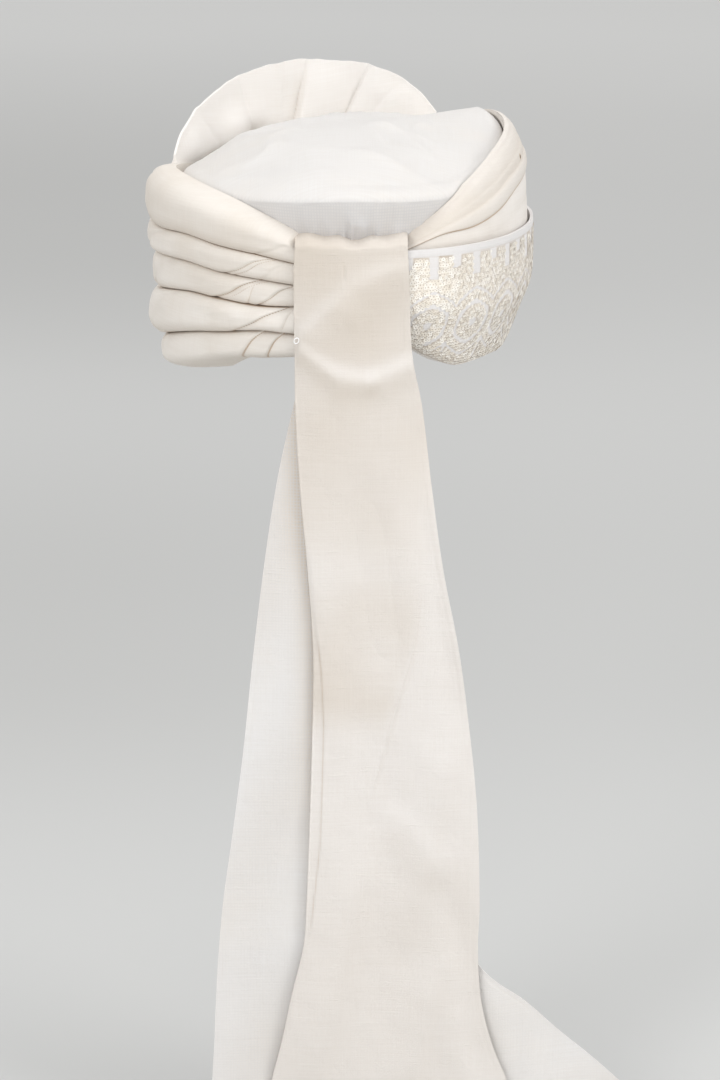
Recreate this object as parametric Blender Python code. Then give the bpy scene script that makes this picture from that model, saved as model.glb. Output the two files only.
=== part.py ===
"""Ready-tied turban: inner cap, five twisted rolls, two folded wraps, sequinned band, fan crest and two hanging tails.

Everything is in metres, +Z up. The origin is the centre of the head opening. The tails hang at the back, on -Y,
and the wearer looks along +Y, so +X is the wearer's right. Cloth wound round the head is placed by three numbers:
an angle round the head (0 at the back, positive towards the wearer's right), an offset outwards from the head
opening, and a height. The cloth's layers have different offsets or heights, so that they nest without touching.
"""

import math
from collections import namedtuple

import bmesh
import bpy
from mathutils import Matrix, Vector

# Head opening and inner cap
HEAD_WIDTH = 0.167
HEAD_LENGTH = 0.201
CAP_WALL = 0.0025
CAP_FLARE = 0.027
RIM_LIFT = 0.004
RIM_RISE = 0.034
CROWN_EDGE = 0.140
CROWN_TOP = 0.1645
CROWN_CORNER = 0.010

# Rolls on the wearer's left, and wraps on the right
STACK_BOTTOM = -0.010
STACK_HEIGHT = 0.148
ROLL_REACH = 0.0576
WRAP_BOTTOM = 0.002
WRAP_HEIGHT = 0.170
WRAP_REACH = 0.0427
CREASE_DEPTH = 0.0034
CREASE_WIDTH = 0.011

# Sequinned band, crest and front sash
BAND_WALL = 0.002
BAND_TOP = 0.100
CREST_HEIGHT = 0.191
CREST_OFFSET = 0.037
CREST_BASE = 0.008
CREST_LEAN = 0.0025
CREST_WALL = 0.003
PLEAT_DEPTH = 0.0035
PLEATS = 6
CREST_FOCUS = 0.55
SASH_WIDTH = 0.058
SASH_WALL = 0.0022
SASH_TOP = 0.152
SASH_PLEATS = 3

# Back panel and tails
PANEL_WIDTH = 0.077
TAIL_LENGTH = 0.638
TAIL_WALL = 0.0010
UNDER_LENGTH = 0.612
UNDER_WIDTH = 0.077
UNDER_WALL = 0.0010
TAIL_WAVE = 0.008
LOOP_RADIUS = 0.0019
LOOP_WIRE = 0.0004
LOOP_HEIGHT = 0.018
LOOP_STRETCH = 1.25
PANEL_CORNER = 0.005
PANEL_RIPPLE = 0.0015

# Clearances: between layers that lie on each other, between neighbours in a stack, and where cloth folds back
LAYER_GAP = 0.0005
STACK_GAP = 0.0010
FOLD_GAP = 0.0009

# Where the joints between left and right lie, and how finely the pieces are divided
BACK_JOINT = 0.0
FRONT_JOINT = 200.0
JOINT_GAP = 0.15
STATION = 7.5
FINE_STATION = 3.75
CAP_SEGMENTS = 48

CapEdge = namedtuple("CapEdge", "angle height flare")
CAP_EDGES = [  # heights are shares of CROWN_EDGE, flares of CAP_FLARE
    CapEdge(-180, 1.060, 1.00),
    CapEdge(-135, 0.960, 1.00),
    CapEdge(-115, 0.950, 1.06),
    CapEdge(-100, 0.955, 1.20),
    CapEdge(-85, 0.965, 1.30),
    CapEdge(-65, 0.975, 1.18),
    CapEdge(-40, 0.971, 1.00),
    CapEdge(0, 1.000, 1.00),
    CapEdge(40, 0.986, 1.00),
    CapEdge(62, 1.050, 1.00),
    CapEdge(90, 1.150, 1.00),
    CapEdge(112, 1.195, 1.00),
    CapEdge(122, 1.150, 1.00),
    CapEdge(134, 1.070, 1.00),
    CapEdge(150, 1.055, 1.00),
    CapEdge(180, 1.060, 1.00),
]

StackSection = namedtuple("StackSection", "angle bottom cut_45 cut_34 cut_23 cut_12 top reach")
STACK = [  # heights are shares of STACK_HEIGHT above STACK_BOTTOM, reach a share of ROLL_REACH
    StackSection(-201, 0.220, 0.310, 0.450, 0.580, 0.710, 0.850, 0.68),
    StackSection(-180, 0.200, 0.290, 0.440, 0.580, 0.710, 0.860, 0.74),
    StackSection(-150, 0.130, 0.240, 0.420, 0.575, 0.710, 0.880, 0.86),
    StackSection(-130, 0.060, 0.195, 0.405, 0.580, 0.720, 0.895, 0.93),
    StackSection(-110, 0.020, 0.165, 0.385, 0.575, 0.728, 0.935, 0.98),
    StackSection(-90, 0.000, 0.160, 0.385, 0.578, 0.737, 0.978, 1.00),
    StackSection(-72, 0.040, 0.228, 0.440, 0.606, 0.737, 0.990, 0.99),
    StackSection(-55, 0.132, 0.290, 0.480, 0.625, 0.755, 0.966, 0.95),
    StackSection(-41, 0.222, 0.326, 0.478, 0.607, 0.732, 0.925, 0.89),
    StackSection(-29, 0.200, 0.351, 0.468, 0.594, 0.711, 0.868, 0.80),
    StackSection(-19, 0.213, 0.346, 0.472, 0.579, 0.684, 0.806, 0.72),
    StackSection(-16, 0.217, 0.345, 0.473, 0.574, 0.676, 0.765, 0.70),
    StackSection(0, 0.225, 0.345, 0.465, 0.560, 0.655, 0.740, 0.65),
]

Roll = namedtuple("Roll", "name below above reach round_below round_above")
ROLLS = [  # below and above name the columns of STACK that bound a roll, the rest are shares
    Roll("roll_5", "bottom", "cut_45", 0.84, 0.85, 0.22),
    Roll("roll_4", "cut_45", "cut_34", 0.98, 0.24, 0.24),
    Roll("roll_3", "cut_34", "cut_23", 0.93, 0.24, 0.24),
    Roll("roll_2", "cut_23", "cut_12", 0.98, 0.24, 0.26),
    Roll("roll_1", "cut_12", "top", 1.00, 0.26, 0.85),
]

Crease = namedtuple("Crease", "roll foot head depth")
CREASES = [  # angles where a twist crease meets the roll's lower and upper edge, depth a share of CREASE_DEPTH
    Crease("roll_5", -35.0, -25.0, 1.0),
    Crease("roll_5", -27.0, -20.0, 0.8),
    Crease("roll_5", -96.0, -72.0, 0.5),
    Crease("roll_4", -34.0, -20.0, 1.0),
    Crease("roll_4", -88.0, -62.0, 0.5),
    Crease("roll_3", -42.0, -29.0, 1.0),
    Crease("roll_3", -27.0, -17.5, 0.7),
    Crease("roll_3", -90.0, -64.0, 0.5),
    Crease("roll_2", -38.0, -25.0, 0.8),
    Crease("roll_2", -94.0, -66.0, 0.4),
    Crease("roll_1", -120.0, -84.0, 0.5),
    Crease("roll_5", -176.0, -150.0, 0.8),
    Crease("roll_4", -180.0, -156.0, 0.8),
    Crease("roll_3", -176.0, -154.0, 0.8),
    Crease("roll_2", -182.0, -160.0, 0.8),
]

WrapSection = namedtuple("WrapSection", "angle bottom fold top reach")
WRAPS = [  # heights are shares of WRAP_HEIGHT above WRAP_BOTTOM, reach a share of WRAP_REACH
    WrapSection(0, 0.195, 0.490, 0.580, 0.88),
    WrapSection(20, 0.172, 0.520, 0.608, 0.91),
    WrapSection(31, 0.106, 0.600, 0.680, 0.98),
    WrapSection(43.5, 0.047, 0.629, 0.780, 1.01),
    WrapSection(55, 0.040, 0.674, 0.850, 1.02),
    WrapSection(68, 0.032, 0.738, 0.910, 1.01),
    WrapSection(90, 0.000, 0.785, 0.962, 1.00),
    WrapSection(115, 0.000, 0.800, 0.966, 1.00),
    WrapSection(140, 0.030, 0.780, 0.880, 1.00),
    WrapSection(165, 0.070, 0.735, 0.830, 0.97),
    WrapSection(180, 0.085, 0.700, 0.805, 0.94),
    WrapSection(200, 0.090, 0.650, 0.770, 0.90),
]

ProfileRow = namedtuple("ProfileRow", "height offset")
LOWER_PROFILE = [  # from the wrap's lower edge to its upper edge, offset a share of its reach
    ProfileRow(0.000, 0.40),
    ProfileRow(0.040, 0.52),
    ProfileRow(0.150, 0.67),
    ProfileRow(0.265, 0.80),
    ProfileRow(0.420, 0.97),
    ProfileRow(0.600, 1.00),
    ProfileRow(0.780, 0.97),
    ProfileRow(0.950, 0.94),
    ProfileRow(1.000, 0.92),
]
UPPER_PROFILE = [
    ProfileRow(0.000, 0.945),
    ProfileRow(0.060, 0.965),
    ProfileRow(0.300, 0.930),
    ProfileRow(0.600, 0.850),
    ProfileRow(0.850, 0.745),
    ProfileRow(1.000, 0.640),
]

CrestSection = namedtuple("CrestSection", "angle top")
CREST = [  # the fan's top edge, a share of CREST_HEIGHT
    CrestSection(-212, 0.805),
    CrestSection(-206, 0.875),
    CrestSection(-198, 0.933),
    CrestSection(-189, 0.972),
    CrestSection(-177, 0.990),
    CrestSection(-165, 1.000),
    CrestSection(-152, 0.985),
    CrestSection(-139, 0.938),
    CrestSection(-119, 0.865),
    CrestSection(-104, 0.820),
    CrestSection(-97, 0.740),
]

TailRow = namedtuple("TailRow", "fall left right flap")
TAIL = [  # fall is a share of TAIL_LENGTH, the rest are shares of PANEL_WIDTH
    TailRow(0.000, -0.440, 0.530, 0.07),
    TailRow(0.030, -0.452, 0.545, 0.07),
    TailRow(0.111, -0.445, 0.571, 0.07),
    TailRow(0.174, -0.442, 0.665, 0.30),
    TailRow(0.262, -0.403, 0.753, 1.10),
    TailRow(0.352, -0.338, 0.857, 1.05),
    TailRow(0.441, -0.292, 1.000, 0.93),
    TailRow(0.520, -0.299, 1.090, 0.72),
    TailRow(0.626, -0.325, 1.180, 0.50),
    TailRow(0.746, -0.364, 1.215, 0.20),
    TailRow(0.793, -0.390, 1.205, 0.10),
    TailRow(0.856, -0.506, 1.234, 0.08),
    TailRow(0.912, -0.597, 1.338, 0.08),
    TailRow(0.964, -0.700, 1.500, 0.08),
    TailRow(1.000, -0.753, 1.600, 0.08),
]

UnderRow = namedtuple("UnderRow", "fall left right")
UNDER = [  # fall is a share of UNDER_LENGTH, left and right shares of UNDER_WIDTH
    UnderRow(0.000, -0.300, 0.230),
    UnderRow(0.065, -0.320, 0.250),
    UnderRow(0.145, -0.430, 0.400),
    UnderRow(0.225, -0.620, 0.600),
    UnderRow(0.320, -0.740, 0.675),
    UnderRow(0.438, -0.857, 0.780),
    UnderRow(0.547, -0.950, 0.857),
    UnderRow(0.657, -1.065, 0.900),
    UnderRow(0.738, -1.155, 0.960),
    UnderRow(0.815, -1.210, 1.220),
    UnderRow(0.869, -1.235, 1.690),
    UnderRow(0.910, -1.250, 2.010),
    UnderRow(0.961, -1.275, 2.450),
    UnderRow(1.000, -1.290, 2.780),
]

HALF_WIDTH = HEAD_WIDTH / 2 + CAP_WALL
HALF_LENGTH = HEAD_LENGTH / 2 + CAP_WALL


def read(table, key, column):
    """A column's value at a key, by a smooth curve through the table's rows."""
    keys = [row[0] for row in table]
    values = [getattr(row, column) for row in table]
    key = min(max(key, keys[0]), keys[-1])
    last = len(keys) - 2
    i = next((n for n in range(last) if key < keys[n + 1]), last)
    span = keys[i + 1] - keys[i]
    u = (key - keys[i]) / span

    def slope(n):
        low, high = max(n - 1, 0), min(n + 1, len(keys) - 1)
        return (values[high] - values[low]) / (keys[high] - keys[low])

    start, end = slope(i) * span, slope(i + 1) * span
    rise = values[i + 1] - values[i]
    return values[i] + u * start + u * u * (3 * rise - 2 * start - end) + u**3 * (start + end - 2 * rise)


def ease(value, low, high):
    """0 below low, 1 above high, and smooth between."""
    u = min(max((value - low) / (high - low), 0.0), 1.0)
    return u * u * (3 - 2 * u)


def round_head(angle, offset, height):
    """The point at an angle round the head, an offset outwards and a height."""
    a = math.radians(angle)
    return Vector(((HALF_WIDTH + offset) * math.sin(a), -(HALF_LENGTH + offset) * math.cos(a), height))


def stations(first, last, step, fine_until=None):
    """Angles from first to last at whole steps, and at finer ones up to fine_until."""
    found = [first]
    angle = math.floor(first / step) * step + step
    while angle < last - step / 4:
        if angle > first + step / 4:
            found.append(angle)
        angle += FINE_STATION if fine_until is not None and angle >= fine_until else step
    return [*found, last]


def slab(name, columns, rows, place, colour, roughness):
    """A closed slab of cloth. place(column, row, side) puts each point, with side 0 on one face and 1 on the other."""
    bm = bmesh.new()
    centre = Matrix.Translation((0.5, 0.5, 0.0))
    bmesh.ops.create_grid(bm, x_segments=columns, y_segments=rows, size=0.5, matrix=centre)
    other = bmesh.ops.extrude_face_region(bm, geom=bm.faces[:])["geom"]
    bmesh.ops.translate(bm, vec=(0, 0, 1), verts=[v for v in other if isinstance(v, bmesh.types.BMVert)])
    for vert in bm.verts:
        column, row = round(vert.co.x * columns), round(vert.co.y * rows)
        vert.co = place(column, row, round(vert.co.z))
    return finish(name, bm, colour, roughness)


def finish(name, bm, colour, roughness):
    """Turns a bmesh into the named object with its own cloth material."""
    bmesh.ops.recalc_face_normals(bm, faces=bm.faces[:])
    if bm.calc_volume(signed=True) < 0:
        bmesh.ops.reverse_faces(bm, faces=bm.faces[:])
    mesh = bpy.data.meshes.new(name)
    bm.to_mesh(mesh)
    bm.free()
    mesh.shade_smooth()
    material = bpy.data.materials.new(name)
    material.use_nodes = True
    shader = material.node_tree.nodes["Principled BSDF"]
    shader.inputs["Base Color"].default_value = (*colour, 1.0)
    shader.inputs["Roughness"].default_value = roughness
    shader.inputs["Metallic"].default_value = 0.0
    mesh.materials.append(material)
    made = bpy.data.objects.new(name, mesh)
    bpy.context.scene.collection.objects.link(made)
    return made


IVORY = (0.83, 0.79, 0.73)
COOL_WHITE = (0.82, 0.82, 0.82)
SEQUIN_CREAM = (0.80, 0.75, 0.64)
CLOTH_ROUGHNESS = 0.75
SEQUIN_ROUGHNESS = 0.5


# Inner cap: a hollow shell whose wall leans out from the rim to the crown's edge, under a soft domed crown.
def rim_height(angle):
    return RIM_LIFT + RIM_RISE * math.cos(math.radians(angle)) ** 2


def crown_edge(angle):
    wrapped = (angle + 180) % 360 - 180
    return CROWN_EDGE * read(CAP_EDGES, wrapped, "height")


def cap_offset(angle, height):
    """How far the cap's outer face stands out from the head opening."""
    low, high = rim_height(angle), crown_edge(angle)
    flare = CAP_FLARE * read(CAP_EDGES, (angle + 180) % 360 - 180, "flare")
    return flare * min(max((height - low) / (high - low), 0.0), 1.0)


def cap_point(angle, share, inside):
    """Share runs up the wall to 1, round the corner to 2 and over the crown to 3."""
    wall = CAP_WALL if inside else 0.0
    edge, rim = crown_edge(angle), rim_height(angle)
    if share <= 1:
        height = rim + share * (edge - CROWN_CORNER - rim)
        return round_head(angle, cap_offset(angle, height) - wall, height)
    corner = min(share - 1, 1) * math.pi / 2
    turn = CROWN_CORNER - wall
    start = cap_offset(angle, edge - CROWN_CORNER)
    top = edge - CROWN_CORNER + turn * math.sin(corner)
    offset = start - CROWN_CORNER + turn * math.cos(corner)
    if share <= 2:
        return round_head(angle, offset, top)
    left = 3 - share
    centre = CROWN_TOP - wall
    point = round_head(angle, offset, 0) * left
    return Vector((point.x, point.y, centre - (centre - top) * left**2.4))


def make_cap():
    wall_rows, corner_rows, crown_rows = 1, 2, 4
    outer = [n / wall_rows for n in range(wall_rows)]
    outer += [1 + n / corner_rows for n in range(corner_rows)]
    outer += [2 + n / crown_rows for n in range(crown_rows + 1)]
    profile = [(share, False) for share in outer]
    profile += [(share, True) for share in reversed(outer)]
    profile += [profile[0]]
    bm = bmesh.new()
    centre = Matrix.Translation((0.5, 0.5, 0.0))
    rows = len(profile) - 1
    bmesh.ops.create_grid(bm, x_segments=CAP_SEGMENTS, y_segments=rows, size=0.5, matrix=centre)
    for vert in bm.verts:
        share, inside = profile[round(vert.co.y * rows)]
        angle = 360 * round(vert.co.x * CAP_SEGMENTS) / CAP_SEGMENTS
        vert.co = cap_point(angle, share, inside)
    bmesh.ops.remove_doubles(bm, verts=bm.verts[:], dist=1e-6)
    bmesh.ops.delete(bm, geom=[edge for edge in bm.edges if not edge.link_faces], context="EDGES")
    return finish("cap", bm, COOL_WHITE, CLOTH_ROUGHNESS)


# Twisted rolls: five ropes of wound cloth from the back round the left to the front, each flat against the cap.
def roundness(v, below, above):
    """How much of its depth a roll loses at v, which runs from -1 at its lower edge to 1 at its upper one."""
    share = above if v > 0 else below
    power = 2.3
    return share * (1 - (1 - abs(v) ** power) ** (1 / power))


def crease_depth(name, angle, v, girth):
    """Depth of the twist creases at a point of a roll, deepest on the crease and none a crease's width away."""
    deepest = 0.0
    for crease in CREASES:
        if crease.roll == name:
            middle = crease.foot + (crease.head - crease.foot) * (v + 1) / 2
            away = abs(math.radians(angle - middle)) * girth
            near = max(0.0, 1 - away / CREASE_WIDTH)
            deepest = max(deepest, crease.depth * near * (1 - v * v) ** 0.3)
    return CREASE_DEPTH * deepest


def stack_height(angle, column):
    return STACK_BOTTOM + STACK_HEIGHT * read(STACK, angle, column)


def roll_point(roll, angle, v, side):
    low = stack_height(angle, roll.below) + STACK_GAP / 2
    high = stack_height(angle, roll.above) - STACK_GAP / 2
    height = (low + high) / 2 + v * (high - low) / 2
    inner = cap_offset(angle, height) + LAYER_GAP
    if side == 0:
        return round_head(angle, inner, height)
    reach = ROLL_REACH * read(STACK, angle, "reach") * roll.reach
    depth = (reach - inner) * (1 - roundness(v, roll.round_below, roll.round_above))
    girth = HALF_WIDTH + reach
    return round_head(angle, inner + depth - crease_depth(roll.name, angle, v, girth), height)


def make_rolls():
    first, last = JOINT_GAP - (360 - FRONT_JOINT), BACK_JOINT - JOINT_GAP
    angles = stations(first, last, STATION, fine_until=-45)
    rows = 6
    for roll in ROLLS:

        def place(column, row, side, roll=roll):
            return roll_point(roll, angles[column], -math.cos(math.pi * row / rows), side)

        slab(roll.name, len(angles) - 1, rows, place, IVORY, CLOTH_ROUGHNESS)


# Folded wraps: two layers on the right that rise from the back panel and cross the front to meet the rolls.
def wrap_height(angle, column):
    return WRAP_BOTTOM + WRAP_HEIGHT * read(WRAPS, angle, column)


def wrap_outside(angle, share, profile, inner):
    """Offset of a wrap's outer face, share of the way up it."""
    reach = WRAP_REACH * read(WRAPS, angle, "reach") * read(profile, share, "offset")
    return max(reach, inner + 2 * CAP_WALL)


def make_wraps():
    angles = stations(BACK_JOINT + JOINT_GAP, FRONT_JOINT - JOINT_GAP, STATION)

    def placer(low_column, high_column, profile):
        def place(column, row, side):
            angle, share = angles[column], profile[row].height
            low = wrap_height(angle, low_column) + STACK_GAP / 2
            high = wrap_height(angle, high_column) - STACK_GAP / 2
            height = low + share * (high - low)
            inner = cap_offset(angle, height) + 1.5 * LAYER_GAP
            if side == 0:
                return round_head(angle, inner, height)
            return round_head(angle, wrap_outside(angle, share, profile, inner), height)

        return place

    for name, low, high, profile in (
        ("wrap_lower", "bottom", "fold", LOWER_PROFILE),
        ("wrap_upper", "fold", "top", UPPER_PROFILE),
    ):
        slab(name, len(angles) - 1, len(profile) - 1, placer(low, high, profile), IVORY, CLOTH_ROUGHNESS)


# Sequinned band: one wall of cloth laid over the wraps, from under the back panel to under the front sash.
def make_band():
    angles = stations(BACK_JOINT + 10, FRONT_JOINT - 8, STATION)
    shared = [row for row in LOWER_PROFILE if row.height <= 0.6]
    upper_rows = 3

    def place(column, row, side):
        angle = angles[column]
        low = wrap_height(angle, "bottom") + STACK_GAP / 2
        fold = wrap_height(angle, "fold") - STACK_GAP / 2
        last = low + shared[-1].height * (fold - low)
        if row < len(shared):
            share = shared[row].height
            height = low + share * (fold - low)
        else:
            share = shared[-1].height
            height = last + (BAND_TOP - last) * (row - len(shared) + 1) / upper_rows
        inner = cap_offset(angle, height) + LAYER_GAP
        offset = wrap_outside(angle, share, LOWER_PROFILE, inner) + 2 * LAYER_GAP
        return round_head(angle, offset + side * BAND_WALL, height)

    rows = len(shared) - 1 + upper_rows
    slab("sequin_band", len(angles) - 1, rows, place, SEQUIN_CREAM, SEQUIN_ROUGHNESS)


# Crest: a pleated fan of doubled cloth that stands on the rolls and wraps round the front.
def crest_seat(angle):
    """Height of the cloth that the crest stands on."""
    overlap = 4
    left = stack_height(angle, "top") if angle > FRONT_JOINT - 360 - overlap else 0.0
    right = wrap_height(angle + 360, "top") if angle + 360 < FRONT_JOINT + overlap else 0.0
    return max(left, right)


def make_crest():
    first, last = CREST[0].angle, CREST[-1].angle
    columns, rows = 42, 4

    def place(column, row, side):
        along, up = column / columns, row / rows
        angle = first + along * (last - first)
        low = crest_seat(angle) + LAYER_GAP
        high = max(CREST_HEIGHT * read(CREST, angle, "top"), low + CREST_WALL)
        base = min(CREST_BASE, CREST_WALL + (high - low) / 2)
        wall = base + (CREST_WALL - base) * ease(up, 0.0, 0.9)
        fan = CREST_FOCUS + (along - CREST_FOCUS) / (0.65 + 0.35 * up)
        fold = PLEAT_DEPTH * math.cos(2 * math.pi * PLEATS * fan) * ease(up, 0.0, 0.35) * ease(along, 1.0, 0.6)
        foot = max(CREST_OFFSET - CREST_LEAN, cap_offset(angle, CROWN_EDGE) + base / 2 + 3 * LAYER_GAP)
        offset = foot + (max(CREST_OFFSET, foot) - foot) * up + fold + (side - 0.5) * wall
        return round_head(angle, offset, low + up * (high - low))

    slab("crest", columns, rows, place, IVORY, CLOTH_ROUGHNESS)


# Front sash: a pleated strip over the joint of rolls and wraps, from the rim to the crest's foot.
def front_outside(angle, height):
    """Offset of the rolls or the banded wraps under the sash, blended where they meet."""
    joint = FRONT_JOINT - 360
    rolls = ROLL_REACH * read(STACK, angle, "reach")
    low, fold = wrap_height(angle + 360, "bottom"), wrap_height(angle + 360, "fold")
    share = min(max((height - low) / (fold - low), 0.0), 0.6)
    wraps = wrap_outside(angle + 360, share, LOWER_PROFILE, LAYER_GAP) + BAND_WALL + 2 * LAYER_GAP
    under = wraps + (max(rolls, wraps) - wraps) * ease(angle, joint - 6, joint)
    return max(under, (CREST_OFFSET + CREST_BASE / 2 + PLEAT_DEPTH) * ease(height, 0.0, BAND_TOP))


def make_sash():
    columns, rows = 12, 5
    low = min(stack_height(FRONT_JOINT - 360, "bottom"), wrap_height(FRONT_JOINT, "bottom"))

    def place(column, row, side):
        along, up = column / columns, row / rows
        spread = 0.8 + 0.4 * up
        angle = FRONT_JOINT - 360 + math.degrees(SASH_WIDTH / (HALF_LENGTH + ROLL_REACH)) * spread * (along - 0.5)
        height = low + up * (SASH_TOP - low)
        pleat = 0.5 - 0.5 * math.cos(2 * math.pi * SASH_PLEATS * along)
        offset = front_outside(angle, height) + 4 * LAYER_GAP + SASH_WALL * (side + 0.6 * pleat)
        return round_head(angle, offset, height)

    slab("front_sash", columns, rows, place, IVORY, CLOTH_ROUGHNESS)


# Back panel and outer tail: one strip that covers the back joint and hangs, its left edge folded under.
def flap_depth():
    return TAIL_WALL + FOLD_GAP


def panel_offset():
    """Offset of the panel's middle, clear of the band, and of the rolls with the folded edge laid on them."""
    rolls = ROLL_REACH * read(STACK, -16, "reach") + flap_depth()
    wraps = WRAP_REACH * read(WRAPS, 20, "reach") + BAND_WALL + 2 * LAYER_GAP
    return max(rolls, wraps) + TAIL_WALL / 2 + 2 * LAYER_GAP


def panel_top():
    rolls, wraps = stack_height(-16, "top") + flap_depth(), wrap_height(18, "top")
    return max(rolls, wraps) + TAIL_WALL / 2 + LAYER_GAP


def back_rim():
    return stack_height(0, "bottom")


def drape(x, height):
    """Where cloth hanging at the back lies on Y: round the turban above its rim, and in soft folds below it."""
    half, length = HALF_WIDTH + panel_offset(), HALF_LENGTH + panel_offset()
    share = min(abs(x) / half, 0.95)
    curved = -length * math.sqrt(1 - share**2)
    below = max(back_rim() - height, 0.0)
    fall = below / TAIL_LENGTH
    fan = x / (PANEL_WIDTH * (1 + 1.5 * fall))
    fold = 0.65 * math.sin(5.2 * fan + 2.4 * fall) + 0.35 * math.sin(9.0 * fan - 3.0 * fall + 1.2)
    flat = curved + (-length - curved) * 0.9 * ease(fall, 0.0, 0.33)
    return flat + TAIL_WAVE * fold * ease(fall, 0.0, 1.0)


def tail_path(x, turn, height):
    """A point on the tail's middle: turn is 0 at the cap and 1 where the panel starts down, height counts after."""
    half = HALF_WIDTH + panel_offset()
    if turn >= 1:
        return Vector((x, drape(x, height), height))
    angle = math.degrees(math.asin(x / half))
    top = panel_top() + PANEL_RIPPLE * (0.5 + 0.5 * math.sin(5 * math.pi * x / PANEL_WIDTH))
    inner = cap_offset(angle, top) + LAYER_GAP
    offset = inner + (panel_offset() - inner) * (1 - (1 - turn) ** 1.6)
    return round_head(angle, offset, top - PANEL_CORNER * ease(turn, 0.35, 1.3))


def make_tail():
    flap_columns, front_columns, top_rows, rows = 4, 9, 4, 26
    columns = flap_columns + 1 + front_columns
    start = panel_top() - PANEL_CORNER

    def middle(column, row):
        fall = max(row - top_rows, 0) / (rows - top_rows)
        left, right, flap = (PANEL_WIDTH * read(TAIL, fall, name) for name in ("left", "right", "flap"))
        x = left + (right - left) * max(column - flap_columns - 1, 0) / front_columns
        x += flap * max(flap_columns - column, 0) / flap_columns
        return tail_path(x, row / top_rows, start - fall * (TAIL_LENGTH - PANEL_CORNER))

    def place(column, row, side):
        down = middle(column, min(row + 1, rows)) - middle(column, max(row - 1, 0))
        out = Vector((-1, 0, 0)).cross(down).normalized()
        folded = column <= flap_columns
        step = TAIL_WALL * (side - 0.5)
        point = middle(column, row)
        if column in (flap_columns, flap_columns + 1):
            point.x -= step
        return point + out * (-step - flap_depth() if folded else step)

    slab("tail_outer", columns, rows, place, IVORY, CLOTH_ROUGHNESS)


# Under tail: a wider strip tucked between the panel and the back joint, that hangs close behind the outer tail.
def make_under_tail():
    columns, rows = 9, 24
    tucked = (TAIL_WALL + UNDER_WALL) / 2 + LAYER_GAP
    hanging = TAIL_WALL + flap_depth() + UNDER_WALL / 2 + 2 * LAYER_GAP

    def place(column, row, side):
        fall = row / rows
        left, right = (UNDER_WIDTH * read(UNDER, fall, name) for name in ("left", "right"))
        x = left + (right - left) * column / columns
        height = panel_top() - TAIL_LENGTH + (1 - fall) * UNDER_LENGTH
        inwards = tucked + (hanging - tucked) * ease(back_rim() - height, -PANEL_CORNER * 3, 0.0)
        return Vector((x, drape(x, height) + inwards + UNDER_WALL * (side - 0.5), height))

    slab("tail_under", columns, rows, place, COOL_WHITE, CLOTH_ROUGHNESS)


# Pin loop: a small wire ring that lies against the panel's folded left edge.
def make_loop():
    steps, sides = 12, 6
    bm = bmesh.new()
    ring = bmesh.ops.create_circle(bm, segments=sides, radius=LOOP_WIRE, matrix=Matrix.Translation((LOOP_RADIUS, 0, 0)))
    edges = list({edge for vert in ring["verts"] for edge in vert.link_edges})
    bmesh.ops.spin(bm, geom=edges, cent=(0, 0, 0), axis=(0, 1, 0), angle=2 * math.pi, steps=steps, use_merge=True)
    x = TAIL[2].left * PANEL_WIDTH + TAIL_WALL
    height = back_rim() + LOOP_HEIGHT
    face = drape(x, height) - TAIL_WALL / 2 - LOOP_WIRE - 2 * LAYER_GAP
    bmesh.ops.scale(bm, vec=(1, 1, LOOP_STRETCH), verts=bm.verts[:])
    bmesh.ops.translate(bm, vec=(x, face, height), verts=bm.verts[:])
    finish("pin_loop", bm, COOL_WHITE, CLOTH_ROUGHNESS)


# Start of the script: an empty scene, then each piece in turn.
def main():
    for old in list(bpy.data.objects):
        bpy.data.objects.remove(old)
    make_cap()
    make_rolls()
    make_wraps()
    make_band()
    make_crest()
    make_sash()
    make_tail()
    make_under_tail()
    make_loop()


main()
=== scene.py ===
"""Ready-tied turban, seen from behind: cap, rolls, wraps, sequinned band, fan crest, sash and two tails.

Metres, +Z up. The origin is the centre of the head opening and the tails hang on -Y. Cloth wound round the
head is placed by an angle (0 at the back, positive towards the wearer's right), an offset out from the head
and a height.
"""

import math
from collections import namedtuple

import bmesh
import bpy
import numpy as np
from mathutils import Matrix


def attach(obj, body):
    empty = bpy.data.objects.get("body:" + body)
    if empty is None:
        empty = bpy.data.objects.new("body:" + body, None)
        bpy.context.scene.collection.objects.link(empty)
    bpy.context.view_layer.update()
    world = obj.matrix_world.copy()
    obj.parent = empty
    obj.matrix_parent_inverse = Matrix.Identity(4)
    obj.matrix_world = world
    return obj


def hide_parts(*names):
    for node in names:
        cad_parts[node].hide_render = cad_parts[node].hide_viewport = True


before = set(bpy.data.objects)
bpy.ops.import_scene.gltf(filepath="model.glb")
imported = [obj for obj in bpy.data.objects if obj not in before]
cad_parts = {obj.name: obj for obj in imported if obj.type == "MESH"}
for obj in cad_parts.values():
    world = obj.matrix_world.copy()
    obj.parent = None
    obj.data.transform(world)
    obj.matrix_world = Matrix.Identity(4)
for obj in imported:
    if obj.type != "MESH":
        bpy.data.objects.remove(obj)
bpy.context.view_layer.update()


# Inner cap. A sewn cap of thin white cotton over stiff interlining, flat-topped and softly crumpled, whose
# wall leans out from the rim to the crown's edge. Everything else is tied and stitched round it.
HALF_WIDTH, HALF_LENGTH = 0.086, 0.103
CAP_WALL = 0.0025
CAP_FLARE = 0.027
RIM_LIFT, RIM_RISE = 0.004, 0.034
CROWN_EDGE, CROWN_TOP, CROWN_CORNER, CROWN_DOME = 0.140, 0.1645, 0.010, 2.4


def table(columns, *rows):
    """Rows given one by one, with named columns."""
    return [namedtuple("Row", columns)(*row) for row in rows]


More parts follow.
